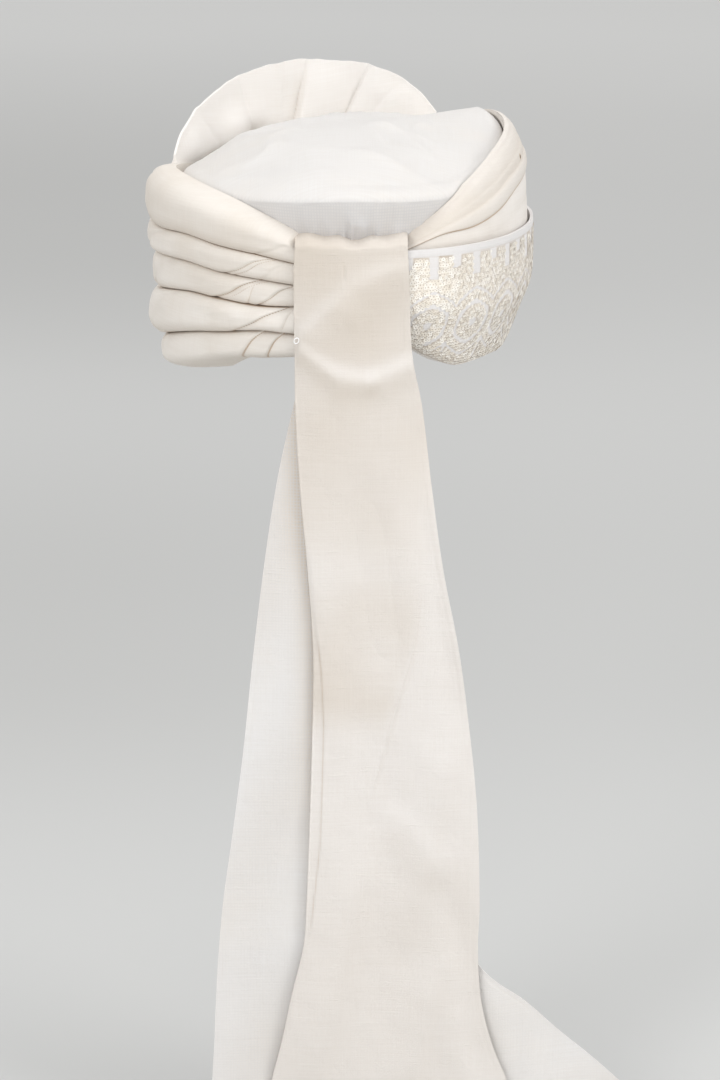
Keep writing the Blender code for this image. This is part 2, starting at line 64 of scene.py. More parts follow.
CAP_EDGES = table(
    "angle height flare",  # heights are shares of CROWN_EDGE, flares of CAP_FLARE
    (-180, 1.06, 1),
    (-135, 0.96, 1),
    (-115, 0.95, 1.06),
    (-100, 0.955, 1.2),
    (-85, 0.965, 1.3),
    (-65, 0.975, 1.18),
    (-40, 0.971, 1),
    (0, 1, 1),
    (40, 0.986, 1),
    (62, 1.05, 1),
    (90, 1.15, 1),
    (112, 1.195, 1),
    (122, 1.15, 1),
    (134, 1.07, 1),
    (150, 1.055, 1),
    (180, 1.06, 1),
)


def read(rows, key, column):
    """A column's value at each key, by a smooth curve through a table's rows."""
    keys = np.array([row[0] for row in rows], float)
    values = np.array([getattr(row, column) for row in rows], float)
    slopes = np.empty_like(values)
    slopes[1:-1] = (values[2:] - values[:-2]) / (keys[2:] - keys[:-2])
    slopes[0] = (values[1] - values[0]) / (keys[1] - keys[0])
    slopes[-1] = (values[-1] - values[-2]) / (keys[-1] - keys[-2])
    key = np.clip(key, keys[0], keys[-1])
    row = np.clip(np.searchsorted(keys, key, side="right") - 1, 0, len(keys) - 2)
    gap, rise = keys[row + 1] - keys[row], values[row + 1] - values[row]
    u, start, end = (key - keys[row]) / gap, slopes[row] * gap, slopes[row + 1] * gap
    return values[row] + u * start + u * u * (3 * rise - 2 * start - end) + u**3 * (start + end - 2 * rise)


def span(value, low, high):
    """0 below low, 1 above high, and straight between."""
    return np.clip((value - low) / (high - low), 0, 1)


def ease(value, low, high):
    """Like span, but smooth."""
    u = span(value, low, high)
    return u * u * (3 - 2 * u)


def soft_noise(seed, *coordinates):
    """Smooth numbers from about -1 to 1 that wander over the coordinates, one unit to a bump."""
    chance = np.random.default_rng(seed)
    total = 0.0
    for _ in range(7):
        turn = chance.normal(0, 2.2, len(coordinates))
        total = total + np.sin(sum(t * c for t, c in zip(turn, coordinates)) + chance.uniform(0, 6.28))
    return total / 4


def bell(u):
    """1 where u is 0, and next to nothing beyond 2 on either side."""
    return np.exp(-(u**2))


def crumpled(seed, *coordinates):
    """Like soft_noise, but pinched into creases: from 0 between them to 1 on them."""
    return (1 - np.minimum(np.abs(soft_noise(seed, *coordinates)), 1)) ** 4


def round_head(angle, offset, height):
    """Points at an angle round the head, an offset outwards and a height."""
    a = np.radians(angle)
    x, y = (HALF_WIDTH + offset) * np.sin(a), -(HALF_LENGTH + offset) * np.cos(a)
    return np.stack((x, y, height + 0 * a), -1)


def rim_height(angle):
    return RIM_LIFT + RIM_RISE * np.cos(np.radians(angle)) ** 2


def cap_edge(angle, column):
    return read(CAP_EDGES, (angle + 180) % 360 - 180, column)


def crown_edge(angle):
    return CROWN_EDGE * cap_edge(angle, "height")


def cap_offset(angle, height):
    """How far the cap's outer face stands out from the head opening."""
    return CAP_FLARE * cap_edge(angle, "flare") * span(height, rim_height(angle), crown_edge(angle))


def show(name, data):
    """Puts a mesh, lamp or camera in the scene."""
    made = bpy.data.objects.new(name, data)
    bpy.context.scene.collection.objects.link(made)
    return made


def show_bmesh(name, bm):
    mesh = bpy.data.meshes.new(name)
    bm.to_mesh(mesh)
    bm.free()
    return show(name, mesh)


def place_cloth(name, bm, place):
    """Moves a grid of 0 to 1 to where place puts it, with its thread coordinates, and closes it."""
    grid = np.array([vert.co for vert in bm.verts]).T
    points, threads = place(*grid)
    thread_layer, shade_and_age_layer = bm.verts.layers.float_vector.new("thread"), bm.verts.layers.float.new("shade_and_age")
    for vert, point, (*thread, shade_and_age) in zip(bm.verts, points.tolist(), threads.tolist()):
        vert.co, vert[thread_layer], vert[shade_and_age_layer] = point, thread, shade_and_age
    bmesh.ops.remove_doubles(bm, verts=bm.verts[:], dist=1e-6)
    bmesh.ops.delete(bm, geom=[edge for edge in bm.edges if not edge.link_faces], context="EDGES")
    bmesh.ops.recalc_face_normals(bm, faces=bm.faces[:])
    if bm.calc_volume(signed=True) < 0:
        bmesh.ops.reverse_faces(bm, faces=bm.faces[:])
    cloth = show_bmesh(name, bm)
    cloth.data.shade_smooth()
    cloth.data.set_sharp_from_angle(angle=math.radians(60))
    return cloth


def woven(across, along, crease=0.0, shade_and_age=0.0):
    """Thread coordinates in metres, how brown a crease is (black above 1), and how far the cloth turns to its
    shade-and-age colour; both the browning and the turning are partly painted shade.
    """
    return np.stack(np.broadcast_arrays(across, along, crease, shade_and_age), -1)


def unit_grid(columns, rows):
    bm = bmesh.new()
    centre = Matrix.Translation((0.5, 0.5, 0.0))
    bmesh.ops.create_grid(bm, x_segments=columns, y_segments=rows, size=0.5, matrix=centre)
    return bm


def cloth_slab(name, columns, rows, place):
    """A closed slab of cloth. place(across, along, side) has side 0 on its inner face and 1 on the outer."""
    bm = unit_grid(columns, rows)
    other = bmesh.ops.extrude_face_region(bm, geom=bm.faces[:])["geom"]
    moved = [vert for vert in other if isinstance(vert, bmesh.types.BMVert)]
    bmesh.ops.translate(bm, vec=(0, 0, 1), verts=moved)
    return place_cloth(name, bm, place)


def plug(node, inputs):
    """Gives a node's inputs their values, or joins them to other nodes."""
    for name, value in inputs.items():
        if isinstance(value, Fibre):
            value.tree.links.new(value.socket, node.inputs[name])
        else:
            node.inputs[name].default_value = value


class Fibre:
    """A socket of a material's node tree. Arithmetic on it adds Math nodes, and node adds any other."""

    def __init__(self, tree, socket=None):
        self.tree, self.socket = tree, socket

    def node(self, kind, settings, inputs, output=0):
        made = self.tree.nodes.new(kind)
        for name, value in settings.items():
            setattr(made, name, value)
        plug(made, inputs)
        return Fibre(self.tree, made.outputs[output])

    def attribute(self, name, output):
        return self.node("ShaderNodeAttribute", {"attribute_name": name}, {}, output)

    def place(self):
        """The piece's own coordinates in metres."""
        return self.node("ShaderNodeTexCoord", {}, {}, output=3)

    def part(self, number):
        """One of a vector's three numbers."""
        return self.node("ShaderNodeSeparateXYZ", {}, {0: self}, number)

    def math(self, operation, *others):
        return self.node("ShaderNodeMath", {"operation": operation}, dict(enumerate((self, *others))))

    def __add__(self, other):
        return self.math("ADD", other)

    def __mul__(self, other):
        return self.math("MULTIPLY", other)

    def __rsub__(self, other):
        return self.math("MULTIPLY", -1.0).math("ADD", other)

    __radd__, __rmul__ = __add__, __mul__

    def between(self, low, high):
        """0 below low and 1 above high."""
        smooth = {"interpolation_type": "SMOOTHSTEP"}
        return self.node("ShaderNodeMapRange", smooth, {0: self, 1: low, 2: high})

    def stretched(self, scale):
        return self.node("ShaderNodeVectorMath", {"operation": "MULTIPLY"}, {0: self, 1: scale})

    def noise(self, scale, detail, roughness=0.5):
        inputs = {"Vector": self, "Scale": scale, "Detail": detail, "Roughness": roughness}
        return self.node("ShaderNodeTexNoise", {}, inputs)

    def tint(self, first, second):
        """A colour from first to second as this goes from 0 to 1."""
        return self.node("ShaderNodeMix", {"data_type": "RGBA"}, {0: self, 6: first, 7: second}, output=2)


IVORY = (0.885, 0.842, 0.788, 1.0)
WARM_IVORY = (0.765, 0.700, 0.620, 1.0)
# the colour of painted shade and of age, which the fourth thread coordinate mixes in
SHADE_AND_AGE_IVORY = (0.700, 0.630, 0.550, 1.0)
COOL_WHITE = (0.855, 0.835, 0.815, 1.0)
GREY_WHITE = (0.690, 0.680, 0.680, 1.0)
CREASE_BROWN = (0.46, 0.29, 0.160, 1.0)
BLACK = (0.02, 0.015, 0.01, 1.0)
THREAD_PITCH, NET_PITCH = 0.00045, 0.0022


def bare_material(name):
    """A new material, the start of its node maths, and its surface shader."""
    material = bpy.data.materials.new(name)
    material.use_nodes = True
    return material, Fibre(material.node_tree), material.node_tree.nodes["Principled BSDF"]


def waves(thread, pitch):
    """Waves across and along the cloth."""
    return [(thread.part(n) * (2 * math.pi / pitch)).math("SINE") for n in (0, 1)]


def cloth_material(
    name, colour, stain, stain_share, weave=0.35, slub=0.5, grid=0.0, sheen=0.15, rough=0.72, old=SHADE_AND_AGE_IVORY
):
    """Plain-woven cloth: threads, slubs and puckers in its bump, and a stain that wanders.

    The third thread coordinate browns it along creases, folds and lines, much of that painted shade, and its
    fourth, partly painted shade and partly age, turns it to the shade-and-age colour.
    """
    material, start, shader = bare_material(name)
    thread, shade_and_age, place = start.attribute("thread", 1), start.attribute("shade_and_age", 2), start.place()
    across, along = waves(thread, THREAD_PITCH)
    threads = across * along
    weft = thread.stretched((22, 1100, 0)).noise(1.0, 3.0)
    warp = thread.stretched((1300, 30, 0)).noise(1.0, 2.0)
    slubs = thread.stretched((50, 800, 0)).noise(1.0, 1.0).between(0.62, 0.78)
    pucker = place.noise(260.0, 3.0, 0.6)
    crumple = place.noise(60.0, 4.0, 0.55)
    wander = place.noise(9.0, 3.0, 0.6)
    stained = (wander + crumple * 0.25).between(0.52, 0.80) * stain_share
    shaded_and_aged = shade_and_age.tint(stained.tint(colour, stain), old)
    streaks = (weft * 0.6 + warp * 0.4).between(0.30, 0.70)
    streaked = streaks.tint((0.965, 0.955, 0.945, 1.0), (1.0, 1.0, 1.0, 1.0))
    multiply = {"data_type": "RGBA", "blend_type": "MULTIPLY"}
    cloth = start.node("ShaderNodeMix", multiply, {0: 1.0, 6: shaded_and_aged, 7: streaked}, output=2)
    if grid:
        across, along = waves(thread, NET_PITCH)
        net = across.math("MAXIMUM", along)
        cloth = (net.between(0.2, 1.0) * (shade_and_age * 1.4 + 0.02) * grid).tint(cloth, GREY_WHITE)
    crease = thread.part(2)
    coloured = (crease.between(0.15, 1.0) * 0.85).tint(cloth, CREASE_BROWN)
    coloured = crease.between(1.1, 1.8).tint(coloured, BLACK)
    height = threads * weave + weft * slub + warp * (slub * 0.5) + slubs * 0.8 + pucker * 0.9
    relief = {"Strength": 0.7, "Distance": 0.0003, "Height": height + crumple * 5.0}
    finish = {
        "Base Color": coloured,
        "Roughness": crumple * 0.12 + (rough - 0.06),
        "Normal": start.node("ShaderNodeBump", {}, relief),
        "Specular IOR Level": 0.28,
        "Sheen Weight": sheen,
        "Sheen Roughness": 0.45,
        "Sheen Tint": (1.0, 0.97, 0.93, 1.0),
    }
    plug(shader, finish)
    return material


def dress(piece, node, material):
    """The piece stands for a solid of the model, which it hides; it takes the material it is given and hangs
    from the root.
    """
    piece.data.materials.append(material)
    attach(piece, "root")
    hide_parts(node)


CAP_COLUMNS, CAP_GIRTH = 260, 0.125  # a girth is the radius that turns angles into metres of cloth
GATHER_ANGLE, GATHER_SPREAD = 8, 24  # degrees
# Rows of the cap's grid run up its wall from 0, round the crown's corner from 1 and to its middle at 3.
OUTER_ROWS = [n / 44 for n in range(44)] + [1 + n / 10 for n in range(10)] + [2 + n / 34 for n in range(35)]
INNER_ROWS = [3 - n / 8 for n in range(8)] + [2 - n / 4 for n in range(4)] + [1 - n / 10 for n in range(11)]
CAP_PROFILE = np.array([(share, 0) for share in OUTER_ROWS] + [(share, 1) for share in INNER_ROWS] + [(0, 0)])


def cap_place(across, along, side):
    angle = 360 * across - 180
    row = np.rint(along * (len(CAP_PROFILE) - 1)).astype(int)
    share, inside = CAP_PROFILE[row].T
    wall = CAP_WALL * inside
    edge, rim = crown_edge(angle), rim_height(angle)
    height = rim + np.minimum(share, 1) * (edge - CROWN_CORNER - rim)
    start = cap_offset(angle, edge - CROWN_CORNER)
    corner = np.clip(share - 1, 0, 1) * math.pi / 2
    turn = CROWN_CORNER - wall
    top = edge - CROWN_CORNER + turn * np.sin(corner)
    offset = start - CROWN_CORNER + turn * np.cos(corner)
    left = np.clip(3 - share, 0, 1)
    centre = CROWN_TOP - wall
    crown = round_head(angle, offset, 0) * left[:, None]
    crown[:, 2] = centre - (centre - top) * left**CROWN_DOME
    on_wall = share <= 1
    points = np.where(on_wall[:, None], round_head(angle, cap_offset(angle, height) - wall, height), crown)
    outside = 1 - inside
    back = bell((angle - GATHER_ANGLE) / GATHER_SPREAD)
    pucker = crumpled(3, angle / 5.5, height * 22) + 0.5 * crumpled(4, angle / 3.2 + height * 40, height * 30)
    gathered = back * ease(height, 0.136, 0.106) * ease(height, 0.085, 0.100) * pucker
    away = np.stack((np.sin(np.radians(angle)), -np.cos(np.radians(angle)), 0 * angle), -1)
    points = points + away * (0.0050 * gathered * outside * on_wall)[:, None]
    x, y = points[:, 0] * 22, points[:, 1] * 22
    folds = soft_noise(11, x * 0.8 - y * 0.5, y * 0.5 + x * 0.3)
    streaks = crumpled(12, 0.55 * x + 0.9 * y, 0.35 * y - 0.25 * x)
    streaks = streaks * ease(soft_noise(13, x * 0.7, y * 0.7), -0.4, 0.6)
    fine = crumpled(14, 1.2 * x + 0.5 * y, 0.8 * y) * ease(soft_noise(15, x * 0.8, y * 0.8), 0.0, 0.8)
    on_crown = ease(share, 1.6, 2.3) * outside
    points[:, 2] += on_crown * (0.0018 * folds + 0.0034 * streaks + 0.0022 * fine + 0.0008)
    across = np.where(on_wall, np.radians(angle) * CAP_GIRTH, points[:, 0])
    along = np.where(on_wall, height, points[:, 1])
    # the wall turns grey, partly because it is the thinner single layer and partly as painted shade on the
    # side away from the overhead light; the gathers add painted shade in their puckers
    return points, woven(across, along, 0.0, (0.5 + 0.3 * gathered) * ease(share, 1.35, 0.9))


cap_white = cloth_material(
    "cap_cotton", COOL_WHITE, IVORY, 0.5, weave=0.5, slub=0.35, grid=0.8, old=GREY_WHITE
)
cap = place_cloth("crown_cap", unit_grid(CAP_COLUMNS, len(CAP_PROFILE) - 1), cap_place)
dress(cap, "cap", cap_white)


# Twisted rolls. Five ropes of ivory silk wound over wadding, from under the back panel round the left to the
# front, each sewn to the one below, with creases where the cloth was twisted as it was wound.
STACK_BOTTOM, STACK_HEIGHT, ROLL_REACH = -0.010, 0.148, 0.0576
LAYER_GAP, STACK_GAP, JOINT_GAP = 0.0005, 0.0003, 0.15
FRONT_JOINT, ROLL_GIRTH = 200.0, 0.14
CREASE_ROUND, CREASE_LINE, CREASE_PIT = 0.0003, 0.0006, 0.0011

STACK = table(
    # heights are shares of STACK_HEIGHT above STACK_BOTTOM, reach a share of ROLL_REACH
    "angle bottom cut_45 cut_34 cut_23 cut_12 top reach",
    (-201, 0.22, 0.31, 0.45, 0.58, 0.71, 0.85, 0.68),
    (-180, 0.2, 0.29, 0.44, 0.58, 0.71, 0.86, 0.74),
    (-150, 0.13, 0.24, 0.42, 0.575, 0.71, 0.88, 0.86),
    (-130, 0.06, 0.195, 0.405, 0.58, 0.72, 0.895, 0.93),
    (-110, 0.02, 0.165, 0.385, 0.575, 0.728, 0.935, 0.98),
    (-90, 0, 0.16, 0.385, 0.578, 0.737, 0.978, 1),
    (-72, 0.04, 0.228, 0.44, 0.606, 0.737, 0.99, 0.99),
    (-55, 0.118, 0.29, 0.48, 0.625, 0.755, 0.966, 0.95),
    (-41, 0.178, 0.326, 0.478, 0.607, 0.732, 0.925, 0.89),
    (-29, 0.196, 0.351, 0.468, 0.594, 0.711, 0.868, 0.8),
    (-19, 0.213, 0.346, 0.472, 0.579, 0.684, 0.806, 0.72),
    (-16, 0.217, 0.345, 0.473, 0.574, 0.676, 0.765, 0.7),
    (0, 0.225, 0.345, 0.465, 0.56, 0.655, 0.74, 0.65),
)

ROLLS = table(
    # below and above name the columns of STACK that bound a roll, the rest are shares
    "name below above reach round_below round_above",
    ("roll_5", "bottom", "cut_45", 0.84, 0.85, 0.2),
    ("roll_4", "cut_45", "cut_34", 0.98, 0.26, 0.22),
    ("roll_3", "cut_34", "cut_23", 0.93, 0.22, 0.22),
    ("roll_2", "cut_23", "cut_12", 0.98, 0.25, 0.21),
    ("roll_1", "cut_12", "top", 1, 0.24, 0.85),
)

CREASES = table(
    # angles at the lower and upper edge, then metres, then how much of the height it crosses, and how brown
    # the line of painted shade along it is
    "roll foot head bend depth steep easy low high stain",
    (5, -39.5, -27.6, 0, 0.0036, 0.0007, 0.007, -1, 1, 1),
    (5, -29.6, -21, 0, 0.003, 0.0007, 0.006, -1, 1, 0.9),
    (5, -96, -72, 0, 0.0012, 0.005, 0.014, -1, 1, 0),
    (4, -38.5, -19, 0.6, 0.0036, 0.0007, 0.0075, -1, 1, 1),
    (4, -22, -17, 0, 0.0018, 0.0012, 0.005, -0.6, 0.8, 0.4),
    (4, -52, -40, 0, 0.001, 0.004, 0.015, -1, 1, 0),
    (4, -88, -62, 0, 0.0022, 0.005, 0.014, -1, 1, 0),
    (3, -45.5, -28, 0.6, 0.0036, 0.0007, 0.007, -1, 1, 1),
    (3, -42.5, -25.5, 0.4, 0.0014, 0.0007, 0.0035, -0.5, 0.95, 0.7),
    (3, -32.8, -28.5, 0, 0.002, 0.0009, 0.0045, -1, 0.4, 0.5),
    (3, -30, -16.5, 0, 0.003, 0.0009, 0.006, -1, 1, 0.8),
    (3, -90, -64, 0, 0.0022, 0.005, 0.014, -1, 1, 0),
    (2, -40.5, -24, 0.4, 0.0026, 0.0009, 0.005, -1, 1, 0.8),
    (2, -37, -22.5, 0.2, 0.002, 0.0009, 0.0045, -0.9, 1, 0.7),
    (2, -28, -18, -0.6, 0.0014, 0.0015, 0.006, -1, 0.7, 0.2),
    (2, -94, -66, 0, 0.0018, 0.005, 0.014, -1, 1, 0),
    (1, -120, -84, 0, 0.0024, 0.006, 0.015, -1, 1, 0),
    (1, -30, -12, 0, 0.0016, 0.0014, 0.005, -0.9, 0.2, 0.3),
    *(
        (roll, foot, head, 0, 0.003, 0.0012, 0.008, -1, 1, 0.6)
        for roll, foot, head in ((5, -176, -150), (4, -180, -156), (3, -176, -154), (2, -182, -160))
    ),
)


def blunt(distance, radius):
    """The distance without its sign, rounded where it turns."""
    return np.sqrt(distance**2 + radius**2) - radius


def creased(piece, angle, v, girth):
    """Depth of a piece's creases, and the brown of painted shade along them. Each drops steeply on one side
    and rises easily on the other.
    """
    depth, stain = 0 * angle, 0 * angle
    for crease in CREASES:
        if piece == f"roll_{crease.roll}":
            climb = (v + 1) / 2
            middle = crease.foot + (crease.head - crease.foot) * (climb + 0.06 * np.sin(2 * np.pi * climb))
            middle = middle + crease.bend * (1 - v * v)
            away = np.radians(angle - middle) * girth
            shape = np.exp(-blunt(away, CREASE_ROUND) / np.where(away < 0, crease.steep, crease.easy))
            fade = ease(v, crease.low - 0.35, crease.low + 0.05)
            fade = fade * ease(v, crease.high + 0.35, crease.high - 0.05)
            depth = np.maximum(depth, 0.80 * crease.depth * shape * fade)
            stain = np.maximum(stain, crease.stain * bell(away / CREASE_LINE) * fade)
            # painted black shade at the foot of the strongest creases, next to the roll below
            pit = bell(away / CREASE_PIT) * ease(v, -0.955, -0.985) * (crease.stain >= 1)
            stain = np.maximum(stain, 1.5 * pit)
    return depth, stain


def roundness(v, below, above):
    """How much of its depth a roll loses at v, which runs from -1 at its lower edge to 1 at its upper one."""
    power = 2.6
    return np.where(v > 0, above, below) * (1 - (1 - np.minimum(np.abs(v), 1) ** power) ** (1 / power))


def stack_height(angle, column):
    return STACK_BOTTOM + STACK_HEIGHT * read(STACK, angle, column)


FAR_STEP, NEAR_STEP, NEAR = 1.5, 0.24, -48.0
roll_ends = (JOINT_GAP - (360 - FRONT_JOINT), -JOINT_GAP)
roll_angles = np.concatenate(
    (np.arange(roll_ends[0], NEAR, FAR_STEP), np.arange(NEAR, roll_ends[1], NEAR_STEP), [roll_ends[1]])
)


def roll_placer(roll, number):
    def place(across, along, side):
        angle = np.interp(across, np.linspace(0, 1, len(roll_angles)), roll_angles)
        v = -np.cos(np.pi * along)
        low = stack_height(angle, roll.below) + STACK_GAP / 2
        high = stack_height(angle, roll.above) - STACK_GAP / 2
        height = (low + high) / 2 + v * (high - low) / 2
        inner = cap_offset(angle, height) + LAYER_GAP
        reach = ROLL_REACH * read(STACK, angle, "reach") * roll.reach
        depth = (reach - inner) * (1 - roundness(v, roll.round_below, roll.round_above))
        girth = HALF_WIDTH + reach
        groove, stain = creased(roll.name, angle, v, girth)
        slack = 0.0006 * soft_noise(20 + number, angle / 24, 0.9 * v + angle / 40)
        drag = 0.0002 * soft_noise(40 + number, angle / 9, 4 * v - angle / 7)
        bulge = (slack + drag) * (1 - v**4)
        # painted shade along the seams where each roll meets the next
        joined = np.where(v > 0, roll.name != "roll_1", roll.name != "roll_5")
        valley = joined * ease(np.abs(v), 0.970, 0.992) * (0.50 + 0.40 * ease(angle, -60, -20))
        offset = inner + side * np.maximum(depth - groove + bulge, CAP_WALL)
        # painted shade on each roll's underside, with a patchy tone and a little more darkening on each
        # higher roll
        underside_shade_and_tone = 0.48 * ease(v, -0.30, -0.95) + 0.15 * soft_noise(30 + number, angle / 20, v)
        underside_shade_and_tone = np.clip(underside_shade_and_tone + 0.08 * number, 0, 1)
        threads = woven(np.radians(angle) * ROLL_GIRTH, height, np.maximum(stain, valley), underside_shade_and_tone)
        return round_head(angle, offset, height), threads

    return place


roll_silk = cloth_material("roll_silk", IVORY, WARM_IVORY, 0.55)
for number, roll in enumerate(ROLLS):
    rope = cloth_slab(f"twisted_{roll.name}", len(roll_angles) - 1, 30, roll_placer(roll, number))
    dress(rope, roll.name, roll_silk)


# Folded wraps. Two turns of the same silk over thin wadding on the right, that leave the back panel narrow
# and spread as they climb round the side, pulled into long folds, to meet the rolls in front.
WRAP_BOTTOM, WRAP_HEIGHT, WRAP_REACH, WRAP_GIRTH = 0.002, 0.170, 0.0427, 0.13
FOLD_LINE, WRAP_LIP, LIP_WALL, THIN_WALL = 0.0006, 0.0045, 0.0008, 0.0006
SLIT_ANGLE, SLIT_HEIGHT, SLIT_WIDE, SLIT_TALL = 78, 0.1456, 0.7, 0.0016  # a painted black dot, the shade of a small hole that is not cut

WRAPS = table(
    # heights are shares of WRAP_HEIGHT above WRAP_BOTTOM, reach a share of WRAP_REACH
    "angle bottom fold top reach",
    (0, 0.195, 0.49, 0.58, 0.88),
    (20, 0.172, 0.575, 0.608, 0.91),
    (31, 0.106, 0.622, 0.68, 0.98),
    (43.5, 0.047, 0.636, 0.78, 1.01),
    (55, 0.04, 0.674, 0.85, 1.02),
    (68, 0.032, 0.738, 0.91, 1.01),
    (90, 0, 0.785, 0.962, 1),
    (115, 0, 0.8, 0.966, 1),
    (140, 0.03, 0.78, 0.88, 1),
    (165, 0.07, 0.735, 0.83, 0.97),
    (180, 0.085, 0.7, 0.805, 0.94),
    (200, 0.09, 0.65, 0.77, 0.9),
)

LOWER_PROFILE = table(
    "height offset",  # from the wrap's lower edge to its upper edge, offset a share of its reach
    (0, 0.4), (0.04, 0.52), (0.15, 0.67), (0.265, 0.8), (0.42, 0.97), (0.6, 1),
    (0.78, 0.97), (0.95, 0.94), (1, 0.92),
)
UPPER_PROFILE = table(
    "height offset",
    (0, 0.945), (0.06, 0.965), (0.3, 0.93), (0.6, 0.85), (0.85, 0.745), (1, 0.64),
)


def wrap_height(angle, column):
    return WRAP_BOTTOM + WRAP_HEIGHT * read(WRAPS, angle, column)


def wrap_outside(angle, share, profile, inner):
    """Offset of a wrap's outer face, share of the way up it."""
    reach = WRAP_REACH * read(WRAPS, angle, "reach") * read(profile, share, "offset")
    return np.maximum(reach, inner + 2 * CAP_WALL)


FAN_FOLDS = table(
    # long folds that run with the wrap: where they lie up it, how far they stray, metres, and how brown the
    # line of painted shade along them is
    "piece share wander depth steep easy stain",
    ("wrap_lower", 0.86, 0.02, 0.0004, 0.002, 0.003, 0),
    ("wrap_upper", 0.02, 0, 0.001, 0.0004, 0.003, 1),
    ("wrap_upper", 0.4, 0.03, 0.0014, 0.0012, 0.007, 0.35),
    ("wrap_upper", 0.66, 0.05, 0.001, 0.004, 0.006, 0),
)


def cap_skin(angle, height):
    """The cap's outer face with its rounded corner, for cloth that lies on it."""
    climbed = np.clip(height - (crown_edge(angle) - CROWN_CORNER), 0, 0.72 * CROWN_CORNER)
    return cap_offset(angle, height) - (CROWN_CORNER - np.sqrt(CROWN_CORNER**2 - climbed**2))


def wrap_placer(name, low_column, high_column, profile):
    def place(across, along, side):
        angle = JOINT_GAP + across * (FRONT_JOINT - 2 * JOINT_GAP)
        low = wrap_height(angle, low_column) + STACK_GAP / 2
        high = wrap_height(angle, high_column) - STACK_GAP / 2
        height = low + along * (high - low)
        inner = cap_skin(angle, height) + 1.5 * LAYER_GAP
        groove, stain = 0 * angle, 0 * angle
        for number, fold in enumerate(fold for fold in FAN_FOLDS if fold.piece == name):
            strayed = fold.share + fold.wander * np.sin(np.radians(angle * 2.1) + number)
            away = (along - strayed) * (high - low)
            shape = np.exp(-np.abs(away) / np.where(away < 0, fold.steep, fold.easy))
            held = ease(angle, 135, 75)
            groove = np.maximum(groove, fold.depth * shape * held)
            stain = np.maximum(stain, fold.stain * np.exp(-np.abs(away) / FOLD_LINE) * held)
        slack = 0.0004 * soft_noise(61, angle / 18, along * 3) * np.sin(np.pi * along)
        outer = wrap_outside(angle, along, profile, inner) - groove + slack
        if name == "wrap_upper":
            # a painted black dot for the shade of a small hole
            slit = bell((angle - SLIT_ANGLE) / SLIT_WIDE) * bell((height - SLIT_HEIGHT) / SLIT_TALL)
            stain = np.maximum(stain, 2.6 * slit)
            lip = np.clip((high - height) / WRAP_LIP, 0, 1)
            outer = inner + LIP_WALL + (outer - inner - LIP_WALL) * np.sqrt(1 - (1 - lip) ** 2)
        offset = np.where(side > 0.5, np.maximum(outer, inner + THIN_WALL), inner)
        # the fourth coordinate is painted shade in the folds' grooves
        threads = woven(np.radians(angle) * WRAP_GIRTH, height, stain, np.clip(0.5 * groove / 0.001, 0, 0.5))
        return round_head(angle, offset, height), threads

    return place


# both turns are of one silk: the lower is painted lighter and the upper darker, painted light and shade for
# the light each gets
for name, low, high, profile, colour in (
    ("wrap_lower", "bottom", "fold", LOWER_PROFILE, (0.925, 0.885, 0.84, 1)),
    ("wrap_upper", "fold", "top", UPPER_PROFILE, (0.8, 0.755, 0.705, 1)),
):
    turn = cloth_slab(f"silk_{name}", 330, 44, wrap_placer(name, low, high, profile))
    dress(turn, name, cloth_material(f"{name}_silk", colour, WARM_IVORY, 0.4, slub=0.7))


# Sequinned band. A strip of cool white satin with a turned and stitched top hem, laid over the lower wrap and
# sewn down. The network that its sequins are sewn in is charted here too.
BAND_WALL, BAND_TOP, BAND_HEM, STITCH_WIDTH = 0.002, 0.100, 0.0055, 0.0005
BAND_START, BAND_END = 10.0, FRONT_JOINT - 8.0
SHARED = 0.6  # how far up the lower wrap the band follows it


def band_bottom(angle):
    return wrap_height(angle, "bottom") + STACK_GAP / 2


def band_outside(angle, height):
    """Offset of the band's outer face."""
    low = band_bottom(angle)
    fold = wrap_height(angle, "fold") - STACK_GAP / 2
    share = np.minimum(span(height, low, fold), SHARED)
    inner = cap_offset(angle, height) + LAYER_GAP
    ripple = 0.0004 * soft_noise(71, angle / 8, height * 60) * ease(height - low, 0.0, 0.02)
    return wrap_outside(angle, share, LOWER_PROFILE, inner) + 2 * LAYER_GAP + BAND_WALL + ripple


BAND_MIDDLE = 0.055  # height at which the band's run is measured
band_angles = np.linspace(BAND_START, BAND_END, 1500)
middle = round_head(band_angles, band_outside(band_angles, BAND_MIDDLE + 0 * band_angles), BAND_MIDDLE)
band_run = np.concatenate(([0], np.cumsum(np.linalg.norm(np.diff(middle, axis=0), axis=1))))
REPEAT, MEDALLION_HEIGHT, FIRST_MEDALLION = 0.036, 0.045, 26.8
MEDALLION_PLAIN, MEDALLION_RING, CHANNEL, ARCH, PLAIN_ARCH = 0.0030, 0.0118, 0.0148, 0.0202, 0.0222
BORDER, GAP_HALF, GAP_LENGTH, COLUMN_GAP, PLAIN_EDGE = 0.0050, 0.0036, 0.012, 0.0012, 0.0014
MEDALLION_SHAPE = 0.92  # a medallion's width over its height


